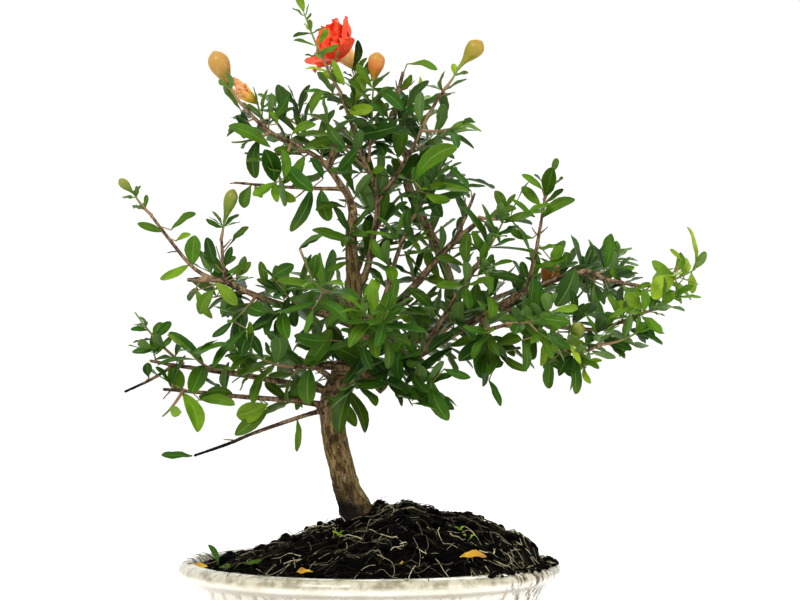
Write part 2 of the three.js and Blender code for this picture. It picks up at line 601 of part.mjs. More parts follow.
// A blade grows out of four corners and is bent along its length. Its two faces are cut up alike.
function addLeaf(skin, leaf, corners) {
  const [lowerLeft, lowerRight, upperRight, upperLeft] = stalkCorners(skin, leaf, corners);
  const lowered = (place) => place.clone().addScaledVector(leaf.face, -LEAF_THICKNESS);
  let [topLeft, topRight, underLeft, underRight] = [upperLeft, upperRight, lowerLeft, lowerRight];
  for (const [along, across] of BLADE_EDGE) {
    const left = leafPoint(leaf, along, -across);
    const right = leafPoint(leaf, along, across);
    const next = [left, right, lowered(left), lowered(right)].map((place) => addPoint(skin, place));
    addQuad(skin, topRight, topLeft, next[0], next[1]);
    addQuad(skin, underLeft, underRight, next[3], next[2]);
    addQuad(skin, topLeft, underLeft, next[2], next[0]);
    addQuad(skin, underRight, topRight, next[1], next[3]);
    [topLeft, topRight, underLeft, underRight] = next;
  }
  const tip = addPoint(skin, leafPoint(leaf, 1, 0));
  const underTip = addPoint(skin, lowered(leafPoint(leaf, 1, 0)));
  skin.faces.push(topRight, topLeft, tip, underLeft, underRight, underTip);
  addQuad(skin, topLeft, underLeft, underTip, tip);
  addQuad(skin, underRight, topRight, tip, underTip);
}

// The stretch of a twig between two rings, with what grows from its four sides.
function addBand(skin, from, to, node) {
  for (let side = 0; side < TWIG_SIDES; side += 1) {
    const next = (side + 1) % TWIG_SIDES;
    const corners = [from[side], from[next], to[next], to[side]];
    const leaf = node.leaves.find((one) => one.twigSide === side);
    const shoot = node.shoots.find((one) => one.twigSide === side);
    if (leaf) {
      addLeaf(skin, leaf, corners);
    } else if (shoot) {
      addShoot(skin, shoot, corners);
    } else {
      addQuad(skin, ...corners);
    }
  }
}

const BARE = { leaves: [], shoots: [] };

function addShoot(skin, shoot, firstRing) {
  const half = STALK_HEIGHT / 2 / shoot.twig.length;
  let ring = firstRing;
  for (const node of shoot.nodes) {
    const below = addRing(skin, shoot, node.t - half);
    const above = addRing(skin, shoot, node.t + half);
    addBand(skin, ring, below, BARE);
    addBand(skin, below, above, node);
    ring = above;
  }
  const end = addRing(skin, shoot, 1);
  addBand(skin, ring, end, BARE);
  addQuad(skin, ...end);
}

function spraySolid(spray) {
  const skin = newSkin();
  const ring = addRing(skin, spray, 0);
  addQuad(skin, ...[...ring].reverse());
  addShoot(skin, spray, ring);
  return toSolid(skinGeometry(skin));
}

function skinGeometry(skin) {
  const geometry = new THREE.BufferGeometry().setFromPoints(skin.points);
  geometry.setIndex(skin.faces);
  return geometry;
}

// ---------------------------------------------------------------- buds and flowers

function placeAlong(geometry, start, heading) {
  const turn = new THREE.Quaternion().setFromUnitVectors(new THREE.Vector3(0, 1, 0), heading);
  return geometry.applyQuaternion(turn).translate(start.x, start.y, start.z);
}

function latheOf(profile, length, radius, sides) {
  const points = profile.map(([along, share]) => new THREE.Vector2(share * radius, along * length));
  return new THREE.LatheGeometry(points, sides);
}

// Where a bud or flower starts that stands on a twig's end, just clear of it.
function beyondTwig(twig, reach, footRadius) {
  const axis = twigFrame(twig, 1).axis;
  const lean = axis.dot(vector(reach).normalize());
  const tilt = Math.sqrt(1 - lean * lean);
  return twigPoint(twig, 1).addScaledVector(axis, GAP + (footRadius + TWIG_TIP_RADIUS) * tilt);
}

function budSolid(start, reach, radius) {
  const bud = latheOf(BUD_PROFILE, reach.length(), radius, BUD_SIDES);
  return toSolid(placeAlong(bud, start, reach.clone().normalize()));
}

function budBalls(start, reach, radius) {
  return BUD_STATIONS.map(([along, share]) => ({
    place: start.clone().addScaledVector(reach, along),
    radius: share * radius,
  }));
}

// A cup with flared lobes round its mouth.
function cupSolid(start, heading, length, radius) {
  const cup = latheOf(CUP_PROFILE, length, radius, CUP_SIDES);
  const position = cup.attributes.position;
  for (let i = 0; i < position.count; i += 1) {
    const [x, y, z] = [position.getX(i), position.getY(i), position.getZ(i)];
    const sector = Math.round((Math.atan2(x, z) / (2 * Math.PI)) * CUP_SIDES);
    const atMouth = Math.abs(y - length) < 1e-3;
    if (atMouth && sector % 2 === 0) {
      position.setXYZ(i, x * LOBE_FLARE, y + LOBE_LENGTH * length, z * LOBE_FLARE);
    }
  }
  return toSolid(placeAlong(cup, start, heading));
}

// A point of a crumpled petal: u runs from its root to its tip, v from -1 to 1 across it.
function petalPoint(petal, u, v, share) {
  const [along, across] = PETAL_WAVES;
  const wave = Math.sin(along * u + petal.phase[0]) * Math.cos(across * v + petal.phase[1]);
  const reach = petal.length * u * (1 - PETAL_SHORT_SIDES * v * v);
  const place = petal.root.clone().addScaledVector(petal.heading, reach);
  place.addScaledVector(petal.side, (v * share * petal.width) / 2);
  return place.addScaledVector(petal.face, u * (PETAL_CRUMPLE * wave + PETAL_CUPPING * v * v));
}

// A grid of points that widens from the petal's root, the same grid below it, and the walls.
function petalSolid(petal) {
  const skin = newSkin();
  const lastRow = PETAL_ROWS.length - 1;
  const lastColumn = PETAL_COLUMNS.length - 1;
  const sheet = (drop) => PETAL_ROWS.map((share, row) => PETAL_COLUMNS.map((v) => {
    const place = petalPoint(petal, row / lastRow, v, share);
    return addPoint(skin, place.addScaledVector(petal.face, -drop));
  }));
  const upper = sheet(0);
  const lower = sheet(PETAL_THICKNESS);
  for (let row = 0; row < lastRow; row += 1) {
    for (let column = 0; column < lastColumn; column += 1) {
      const [a, b] = [upper[row][column], upper[row][column + 1]];
      const [c, d] = [upper[row + 1][column + 1], upper[row + 1][column]];
      skin.faces.push(a, c, b, a, d, c);
      const [e, f] = [lower[row][column], lower[row][column + 1]];
      const [g, h] = [lower[row + 1][column + 1], lower[row + 1][column]];
      skin.faces.push(e, f, g, e, g, h);
    }
  }
  const leftEdge = (sheetRows) => sheetRows.map((row) => row[0]).reverse();
  const rightEdge = (sheetRows) => sheetRows.map((row) => row[lastColumn]);
  addWall(skin, leftEdge(upper), leftEdge(lower));
  addWall(skin, rightEdge(upper), rightEdge(lower));
  addWall(skin, upper[0], lower[0]);
  addWall(skin, [...upper[lastRow]].reverse(), [...lower[lastRow]].reverse());
  return toSolid(skinGeometry(skin));
}

// The narrow faces between an upper edge and the lower one beneath it.
function addWall(skin, upper, lower) {
  for (let i = 0; i < upper.length - 1; i += 1) {
    addQuad(skin, upper[i], upper[i + 1], lower[i + 1], lower[i]);
  }
}

// Petals in a whorl on a short core that stands in the cup.
function petalsSolid(start, heading, flower) {
  const random = randomFrom(flower.petals);
  const foot = start.clone().addScaledVector(heading, CORE_FOOT * flower.cup);
  const coreRadius = CORE_RADIUS * flower.mouth;
  const coreProfile = [[0, 0], [0, 1], [1, 1], [1, 0]];
  const core = latheOf(coreProfile, CORE_LENGTH * flower.cup, coreRadius, flower.petals);
  const top = start.clone().addScaledVector(heading, PETAL_FOOT * flower.cup);
  const across = new THREE.Vector3().crossVectors(heading, new THREE.Vector3(0, 1, 0)).normalize();
  const third = new THREE.Vector3().crossVectors(heading, across);
  const petals = [...Array(flower.petals).keys()].map((index) => {
    const turn = ((index + 0.5) * 2 * Math.PI) / flower.petals;
    const outward = outwardAt({ across, third }, turn);
    const hang = 1 - PETAL_HANG * outward.z;
    const open = flower.spread * hang * between(PETAL_VARIETY, random());
    const along = heading.clone().multiplyScalar(Math.cos(open)).addScaledVector(outward, Math.sin(open));
    const face = heading.clone().multiplyScalar(Math.sin(open)).addScaledVector(outward, -Math.cos(open));
    return petalSolid({
      root: top.clone().addScaledVector(outward, PETAL_ROOT_RADIUS * coreRadius),
      heading: along,
      face,
      side: new THREE.Vector3().crossVectors(face, along),
      length: flower.length * between(PETAL_VARIETY, random()),
      width: flower.width,
      phase: [random() * 2 * Math.PI, random() * 2 * Math.PI],
    });
  });
  return join([toSolid(placeAlong(core, foot, heading)), ...petals]);
}

// ---------------------------------------------------------------- pot and soil

function latheSolid(profile) {
  return toSolid(new THREE.LatheGeometry(profile.map(([r, z]) => new THREE.Vector2(r, z)), POT_SIDES)
    .rotateX(Math.PI / 2));
}

function uprightCylinder(radius, bottom, top, sides, x, y) {
  const cylinder = new THREE.CylinderGeometry(radius, radius, top - bottom, sides).rotateX(Math.PI / 2);
  return toSolid(cylinder.translate(x, y, (bottom + top) / 2));
}

function drainPlaces() {
  return DRAIN_HOLE_ANGLES.map((angle) => {
    const turn = THREE.MathUtils.degToRad(angle);
    return [DRAIN_HOLE_OFFSET * Math.cos(turn), DRAIN_HOLE_OFFSET * Math.sin(turn)];
  });
}

function potSolid() {
  const bowl = latheSolid([[0, 0], ...POT_OUTSIDE, ...POT_INSIDE, [0, POT_FLOOR]]);
  const [bottom, top] = [-CUT_MARGIN, POT_FLOOR + CUT_MARGIN];
  const holes = drainPlaces().map(([x, y]) =>
    uprightCylinder(DRAIN_HOLE_RADIUS, bottom, top, DRAIN_HOLE_SIDES, x, y));
  return bowl.subtract(join(holes));
}

function screenSolid(x, y) {
  const bottom = POT_FLOOR + GAP;
  const top = bottom + SCREEN_THICKNESS;
  const disc = uprightCylinder(SCREEN_RADIUS, bottom, top, SCREEN_SIDES, x, y);
  const openings = [[-1, -1], [1, -1], [1, 1], [-1, 1]].map(([i, j]) => {
    const place = [x + i * SCREEN_OPENING_OFFSET, y + j * SCREEN_OPENING_OFFSET];
    return uprightCylinder(SCREEN_OPENING, bottom - CUT_MARGIN, top + CUT_MARGIN, 4, ...place);
  });
  return disc.subtract(join(openings));
}

function ridgeHeight(x) {
  const next = Math.max(1, SOIL_RIDGE.findIndex(([place]) => place >= x));
  const [x0, z0] = SOIL_RIDGE[next - 1];
  const [x1, z1] = SOIL_RIDGE[next];
  return THREE.MathUtils.lerp(z0, z1, (x - x0) / (x1 - x0));
}

// Uneven lumps, from -1 to 1.
function lumps(x, y) {
  const along = x / LUMP_SIZE + Math.sin(y / LUMP_DRIFT);
  const across = y / LUMP_SIZE + Math.sin(x / LUMP_DRIFT);
  return Math.sin(along) * Math.cos(across);
}

// The mound falls from its ridge to the front and back edges.
function soilHeight(x, y) {
  const edge = Math.sqrt(Math.max(1, SOIL_REACH ** 2 - x * x));
  const fall = Math.min(1, Math.abs(y) / edge);
  const mound = (ridgeHeight(x) - SOIL_EDGE_HEIGHT) * (1 - fall ** SOIL_ROUNDNESS);
  return SOIL_EDGE_HEIGHT + mound + LUMP_HEIGHT * lumps(x, y) * (1 - fall);
}

function soilSolid() {
  const bottom = POT_FLOOR + SCREEN_THICKNESS + 2 * GAP;
  const wall = [...POT_INSIDE].reverse().slice(1, -1).map(([r, z]) => [r - SOIL_WALL_GAP, z]);
  const foot = [SOIL_FOOT_RADIUS, bottom];
  const rings = SOIL_RINGS.map((radius) => [radius, SOIL_EDGE_HEIGHT]);
  const profile = [[0, bottom], foot, ...wall, ...rings, [0, SOIL_EDGE_HEIGHT]];
  const body = new THREE.LatheGeometry(profile.map(([r, z]) => new THREE.Vector2(r, z)), POT_SIDES);
  body.rotateX(Math.PI / 2);
  const position = body.attributes.position;
  for (let i = 0; i < position.count; i += 1) {
    if (Math.abs(position.getZ(i) - SOIL_EDGE_HEIGHT) < 1e-3) {
      position.setZ(i, soilHeight(position.getX(i), position.getY(i)));
    }
  }
  const trunk = LIMBS.trunk.map(([x, y, z, radius], i) =>
    [x, y, i === 0 ? z - HOLE_CLEARANCE : z, radius + HOLE_CLEARANCE]);
  return toSolid(body).subtract(limbSolid(trunk));
}

// ---------------------------------------------------------------- the whole object

const LEAF_TONES = { dark: 0x2f6420, mid: 0x4c8329, light: 0x7fa83a };
const BUD_TONES = { golden: 0xd9a94a, orange: 0xe98a3a, olive: 0xa8a53c, green: 0x7fa83a };

const materials = {
  pot: new THREE.MeshStandardMaterial({ color: 0xe8e2d0, roughness: 0.25, metalness: 0 }),
  screen: new THREE.MeshStandardMaterial({ color: 0x2c2f2c, roughness: 0.6, metalness: 0 }),
  soil: new THREE.MeshStandardMaterial({ color: 0x17130f, roughness: 1, metalness: 0 }),
  bark: new THREE.MeshStandardMaterial({ color: 0x86694a, roughness: 0.85, metalness: 0 }),
  petal: new THREE.MeshStandardMaterial({ color: 0xf4512c, roughness: 0.6, metalness: 0 }),
  cup: new THREE.MeshStandardMaterial({ color: 0xf2a35c, roughness: 0.4, metalness: 0 }),
};

function leafMaterial(tone) {
  return new THREE.MeshStandardMaterial({ color: LEAF_TONES[tone], roughness: 0.45, metalness: 0 });
}

function budMaterial(tone) {
  return new THREE.MeshStandardMaterial({ color: BUD_TONES[tone], roughness: 0.35, metalness: 0 });
}

const tree = new THREE.Group();

function addPiece(name, solid, material) {
  const piece = new THREE.Mesh(toGeometry(solid), material);
  piece.name = name;
  tree.add(piece);
}

function addPotAndSoil() {
  addPiece('pot', potSolid(), materials.pot);
  drainPlaces().forEach(([x, y], i) => {
    addPiece(`drain_screen_${i + 1}`, screenSolid(x, y), materials.screen);
  });
  addPiece('soil', soilSolid(), materials.soil);
}

function addWood() {
  takeLimbs();
  addPiece('trunk_and_branches', join(Object.values(LIMBS).map(limbSolid)), materials.bark);
}

function twigNamed(name) {
  const [limb, along, reach] = SPRAYS[name];
  return twigOf(limb, along, reach);
}

// A green bud sits 1 mm deep in its twig, and any other stands clear of it.
function budStart(twig, reach, radius, tone) {
  if (tone === 'green') {
    return twigPoint(twig, 1 - 1 / twig.length);
  }
  return beyondTwig(twig, reach, BUD_PROFILE[1][1] * radius);
}

function addBuds() {
  const greenBuds = {};
  for (const [name, [sprayName, reach, radius, tone]] of Object.entries(BUDS)) {
    const start = budStart(twigNamed(sprayName), reach, radius, tone);
    const solid = budSolid(start, vector(reach), radius);
    taken.push(...budBalls(start, vector(reach), radius));
    if (tone === 'green') {
      greenBuds[sprayName] = solid;
    } else {
      addPiece(name, solid, budMaterial(tone));
    }
  }
  return greenBuds;
}

function flowerBalls(start, heading, flower) {
  const [cupAlong, cupShare] = CUP_STATION;
  const [petalAlong, petalShare] = PETAL_STATION;
  const petalReach = petalAlong * flower.length * Math.cos(flower.spread);
  const cupPlace = start.clone().addScaledVector(heading, cupAlong * flower.cup);
  const petalPlace = start.clone().addScaledVector(heading, PETAL_STATION_START * flower.cup + petalReach);
  return [
    { place: cupPlace, radius: cupShare * flower.mouth },
    { place: petalPlace, radius: petalShare * flower.length },
  ];
}

function addFlowers() {
  for (const [name, flower] of Object.entries(FLOWERS)) {
    const start = beyondTwig(twigNamed(flower.spray), flower.reach, CUP_PROFILE[1][1] * flower.mouth);
    const heading = vector(flower.reach).normalize();
    addPiece(`${name}_cup`, cupSolid(start, heading, flower.cup, flower.mouth), materials.cup);
    addPiece(`${name}_petals`, petalsSolid(start, heading, flower), materials.petal);
    taken.push(...flowerBalls(start, heading, flower));
  }
}

function addSprays(greenBuds) {
  Object.keys(SPRAYS).forEach((name, index) => {
    const leafy = spraySolid(growSpray(name, index + 1));
    const solid = greenBuds[name] ? leafy.add(greenBuds[name]) : leafy;
    addPiece(`spray_${name}`, solid, leafMaterial(SPRAYS[name][4]));
  });
}

addPotAndSoil();
addWood();
const greenBuds = addBuds();
addFlowers();
addSprays(greenBuds);

export default tree;
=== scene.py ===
"""Pomegranate bonsai in a round glazed pot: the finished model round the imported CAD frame.

The tree's plan and the rule that grows its leafy sprays are the CAD model's own, so each finer
piece lies where its CAD node does. All places are worked out in millimetres, and add_piece turns
them into metres. +X is the tree's right as the camera sees it, +Y its back, +Z up.
"""
import math
import random

import bmesh
import bpy
import numpy as np
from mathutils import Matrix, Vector, kdtree, noise


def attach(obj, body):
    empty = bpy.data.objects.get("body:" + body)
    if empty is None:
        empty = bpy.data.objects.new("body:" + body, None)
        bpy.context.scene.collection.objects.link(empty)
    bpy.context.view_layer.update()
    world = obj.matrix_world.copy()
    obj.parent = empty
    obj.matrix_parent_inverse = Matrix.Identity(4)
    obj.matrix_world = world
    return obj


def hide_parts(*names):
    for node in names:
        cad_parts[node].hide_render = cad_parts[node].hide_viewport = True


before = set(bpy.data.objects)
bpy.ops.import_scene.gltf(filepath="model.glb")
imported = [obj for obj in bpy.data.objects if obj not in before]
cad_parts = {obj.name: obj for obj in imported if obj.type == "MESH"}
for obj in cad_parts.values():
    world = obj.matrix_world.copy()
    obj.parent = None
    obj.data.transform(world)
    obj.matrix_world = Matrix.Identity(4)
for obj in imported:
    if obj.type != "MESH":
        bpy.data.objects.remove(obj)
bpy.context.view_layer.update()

MM = 0.001

# ---------------------------------------------------------------- pot and soil, as in the CAD

POT_FLOOR = 8
DRAIN_HOLE_RADIUS = 7
DRAIN_HOLE_OFFSET = 46
DRAIN_HOLE_ANGLES = (90, 210, 330)
POT_OUTSIDE = [
    (80, 0), (87, 3), (100, 13), (109, 26), (114, 40), (117.5, 50), (122.5, 51.5), (125, 56),
    (122.5, 60.5), (117.5, 62),
]
POT_INSIDE = [(112, 60), (109.5, 55), (108, 46), (103.5, 32), (94, 18), (80, POT_FLOOR)]
SOIL_RIDGE = [
    (-110, 58), (-96, 65), (-58, 74), (-31, 84), (0, 93), (24, 100), (45, 93), (66, 90), (82, 84),
    (99, 77), (110, 70),
]
SOIL_EDGE_HEIGHT = 57
SOIL_REACH = 110
SOIL_ROUNDNESS = 1.7
SOIL_BOTTOM = 10
SOIL_WALL_GAP = 0.45

# ---------------------------------------------------------------- the rule of growth, as in the CAD

GAP = 0.35
TWIG_RADIUS = 1.3
TWIG_RISE = 0.25
TIP_MARGIN = 1.6
TOPPED_MARGIN = 3.5
NODE_SPACING = 9
ASIDE = (0, 0.4, -0.4, 0.75, -0.75, 0.2, -0.2, 1, -1)
LEAF_WIDTH_RATIO = 0.33
LEAF_VARIETY = (0.84, 1.16)
LEAF_FOLDS = (0.1, 0.45)
LEAF_DROOP = 0.2
TIP_SPREAD = 0.5
SPREADS = (0.8, 1.1)
FACE_UP = 0.8
FACE_FORWARD = 0.25
FACE_TO_TIP = 0.35
YOUNG_SHARES = (0.62, 0.85)
FIRST_PAIR = 5
FORKED_FROM = 33
YOUNG_SIZE = 20
FORK_PAIRS = {2: 0, 4: 2}
FORK_SHARE = 0.5
FORK_SPREAD = 0.75
FORK_LEAF_SIZE = 0.9
STALK_HEIGHT = 1.4
AXIS_STEP = 0.01
BARK_ROOM = 0.6
LIMB_STATIONS = 5
TWIG_STATIONS = (0.3, 0.5, 0.7, 0.85, 1)
LEAF_STATIONS = ((0.3, 0.8), (0.5, 1), (0.7, 0.95), (0.9, 0.55))
BUD_STATIONS = ((0.3, 0.6), (0.5, 1.1), (0.7, 1.1), (0.9, 1.1))
BUD_FOOT = 0.2
CUP_FOOT = 0.28
CUP_STATION = (0.6, 1.2)
PETAL_STATION = (0.5, 0.55)
PETAL_STATION_START = 1.1
TWIG_TIP_RADIUS = 1.05

# Each limb is a smooth line through points [x, y, z, radius].
LIMBS = {
    "trunk": [
        [-7, 0, 46, 10], [-7, 0, 84, 12.5], [-9, 0, 95, 10.8], [-14, -2, 107, 9],
        [-17, -3, 118, 8.3], [-21, -4, 134, 8.2], [-24, -4, 152, 8], [-24.5, -3, 166, 7.6],
        [-19, 0, 180, 7.2], [-11, 2, 194, 6.8], [-7, 3, 208, 6.2], [-9, 2, 226, 5.4],
        [-11, 1, 250, 4.6], [-12, 1, 273, 3.8], [-11, 0, 289, 3], [-16, -1, 304, 2.4],
    ],
    "upper_left": [
        [-12, 0, 296, 2.4], [-27, -3, 317, 2], [-41, -5, 328, 1.7], [-66, -8, 341, 1.5],
        [-83, -10, 358, 1.2],
    ],
    "leader": [
        [-10, 2, 232, 2.8], [-2, 4, 250, 2.4], [2, 6, 270, 2.2], [5, 6, 290, 2], [3, 5, 306, 1.8],
        [-3, 3, 321, 1.6], [-13, -2, 349, 1.4], [-19, -6, 366, 1.2],
    ],
    "right_upper": [
        [4, 6, 294, 1.8], [17, 3, 312, 1.6], [28, 0, 330, 1.4], [40, -3, 354, 1.3],
        [49, -5, 368, 1.2],
    ],
    "dark_limb": [
        [-8, 3, 204, 4], [18, 16, 204, 3.8], [44, 28, 210, 3.6], [56, 31, 224, 3.4],
        [52, 29, 246, 3.3], [43, 25, 268, 3.2], [33, 22, 288, 3.2], [25, 20, 307, 3.1],
        [26, 19, 322, 3], [17, 18, 337, 2.6], [14, 17, 352, 2.2],
    ],
    "cut_leader": [[15, 17, 342, 2], [18, 16, 364, 1.5], [22, 16, 381, 1.3]],
    "right_up": [
        [-8, 2, 210, 3], [14, -6, 226, 2.8], [29, -12, 240, 2.6], [49, -16, 263, 2.2],
        [72, -18, 283, 1.6],
    ],
    "right_up_twig": [[54, -16, 267, 1.6], [62, -17, 285, 1.3], [68, -17, 300, 1.1]],
    "inner_stem": [[-8, 1, 203, 2.4], [8, -10, 228, 2], [18, -16, 260, 1.5], [27, -18, 282, 1.2]],
    "right_main": [
        [-16, 0, 186, 3.6], [6, -4, 187, 3.6], [24, -8, 192, 3.4], [40, -11, 201, 3.2],
        [72, -14, 220, 2.6], [102, -16, 237, 2.3], [137, -16, 249, 1.9], [153, -15, 244, 1.6],
        [175, -14, 240, 1.3],
    ],
    "right_shoot": [
        [101, -16, 236, 1.7], [107, -17, 261, 1.4], [110, -18, 278, 1.2], [113, -18, 296, 1.1],
    ],
    "brown_stem": [[34, -10, 197, 2], [52, -22, 227, 1.6], [63, -28, 243, 1.4], [71, -32, 257, 1.2]],
    "right_low": [
        [84, -15, 227, 2], [112, -26, 216, 1.7], [143, -32, 212, 1.5], [158, -34, 216, 1.3],
        [172, -34, 222, 1.1],
    ],
    "right_lowest": [
        [96, -20, 222, 1.7], [112, -38, 206, 1.5], [131, -46, 198, 1.3], [148, -48, 203, 1.1],
    ],
    "left_mid": [
        [-8, 2, 214, 3.2], [-30, -6, 222, 2.6], [-57, -14, 228, 2.3], [-78, -18, 236, 2],
        [-93, -20, 243, 1.8], [-117, -22, 244, 1.5],
    ],
    "left_tip": [
        [-97, -20, 243, 1.6], [-112, -21, 251, 1.4], [-125, -24, 266, 1.3], [-140, -27, 286, 1.1],
    ],
    "left_bud_stem": [[-92, -20, 242, 1.5], [-94, -19, 256, 1.3], [-95, -18, 270, 1.1]],
    "left_a": [
        [-22, -3, 171, 3], [-45, -8, 176, 2.3], [-78, -12, 182, 1.9], [-105, -15, 186, 1.6],
        [-125, -18, 189, 1.4], [-141, -20, 192, 1.1],
    ],
    "left_a_twig": [[-127, -18, 188, 1.3], [-140, -20, 180, 1.1], [-157, -23, 172, 1]],
    "left_b": [
        [-24, -3, 162, 2.6], [-48, -14, 166, 1.9], [-82, -22, 169, 1.6], [-110, -26, 172, 1.4],
        [-132, -28, 174, 1.1],
    ],
    "left_drooping": [
        [-26, -2, 160, 2.2], [-40, -12, 157, 1.6], [-73, -22, 146, 1.3], [-90, -26, 139, 1.2],
        [-112, -30, 131.5, 1],
    ],
    "front_branch": [
        [10, -10, 174, 5], [2, -8, 180, 3.8], [-12, -6, 187, 3.4], [-32, -13, 188.5, 2.4],
        [-49, -20, 188, 1.6],
    ],
    "left_straight_twig": [[-16, -1, 303, 1.6], [-52, -6, 304, 1.2], [-88, -8, 307, 1]],
    "left_cut_twig": [[-41, -5, 327.5, 1.4], [-62, -7, 325, 1.1], [-81, -8, 326, 1]],
    "gnarled_stub": [[-27, -3, 316, 2], [-24, -4, 324, 2.9], [-19, -4, 332, 3]],
    "back_left": [[-8, 4, 212, 3], [-14, 30, 222, 2.2], [-26, 60, 234, 1.4]],
    "back_right": [[-12, 2, 190, 3.2], [4, 34, 198, 2.2], [22, 64, 206, 1.4]],
    "back_high": [[-10, 2, 246, 2.4], [-4, 26, 262, 1.8], [2, 48, 280, 1.3]],
    "back_low": [[-20, 1, 176, 2.6], [-32, 28, 184, 2], [-48, 57, 192, 1.4]],
    "back_far_right": [[50, 29, 216, 2.2], [78, 42, 230, 1.9], [106, 52, 240, 1.6], [134, 56, 246, 1.2]],
    "front_low": [[-12, -2, 196, 2.4], [-6, -30, 204, 1.9], [4, -54, 212, 1.3]],
    "front_high": [[-9, 0, 222, 2.2], [-15, -26, 229, 1.8], [-22, -48, 236, 1.3]],
    "front_right": [[58, -13, 212, 2], [74, -36, 212, 1.6], [88, -56, 216, 1.3]],
}

# The crown's outline as seen from the front, as [x, z]. Leaves stay inside it.
CROWN_OUTLINE = [
    [-54, 430], [-40, 430], [-33, 414], [-8, 412], [11, 396], [46, 390], [54, 377], [55, 400],
    [76, 400], [76, 383], [52, 356], [52, 347], [71, 345], [71, 334], [60, 325], [62, 312],
    [95, 301], [97, 318], [124, 322], [124, 303], [137, 299], [119, 279], [147, 270], [164, 274],
    [191, 257], [203, 282], [216, 282], [216, 232], [190, 217], [188, 202], [150, 193], [133, 170],
    [121, 169], [108, 182], [90, 188], [80, 176], [56, 174], [55, 150], [47, 150], [35, 164],
    [4, 161], [0, 144], [-9, 144], [-43, 156], [-66, 157], [-76, 137], [-90, 137], [-94, 150],
    [-106, 143], [-121, 144], [-128, 166], [-160, 168], [-151, 184], [-160, 199], [-158, 222],
    [-146, 225], [-138, 215], [-127, 220], [-122, 206], [-104, 204], [-90, 216], [-117, 226],
    [-117, 238], [-139, 241], [-140, 251], [-126, 260], [-154, 277], [-153, 284], [-145, 288],
    [-167, 299], [-169, 314], [-156, 314], [-134, 292], [-111, 292], [-110, 275], [-99, 275],
    [-109, 283], [-107, 290], [-98, 288], [-97, 306], [-80, 306], [-82, 292], [-76, 278],
    [-80, 266], [-32, 264], [-36, 278], [-17, 279], [-32, 284], [-33, 296], [-39, 296], [-45, 274],
    [-54, 275], [-56, 293], [-80, 292], [-80, 308], [-92, 310], [-84, 331], [-93, 336], [-93, 347],
    [-85, 353], [-108, 380], [-108, 395], [-88, 396], [-85, 380], [-46, 370], [-45, 387], [-53, 413],
]

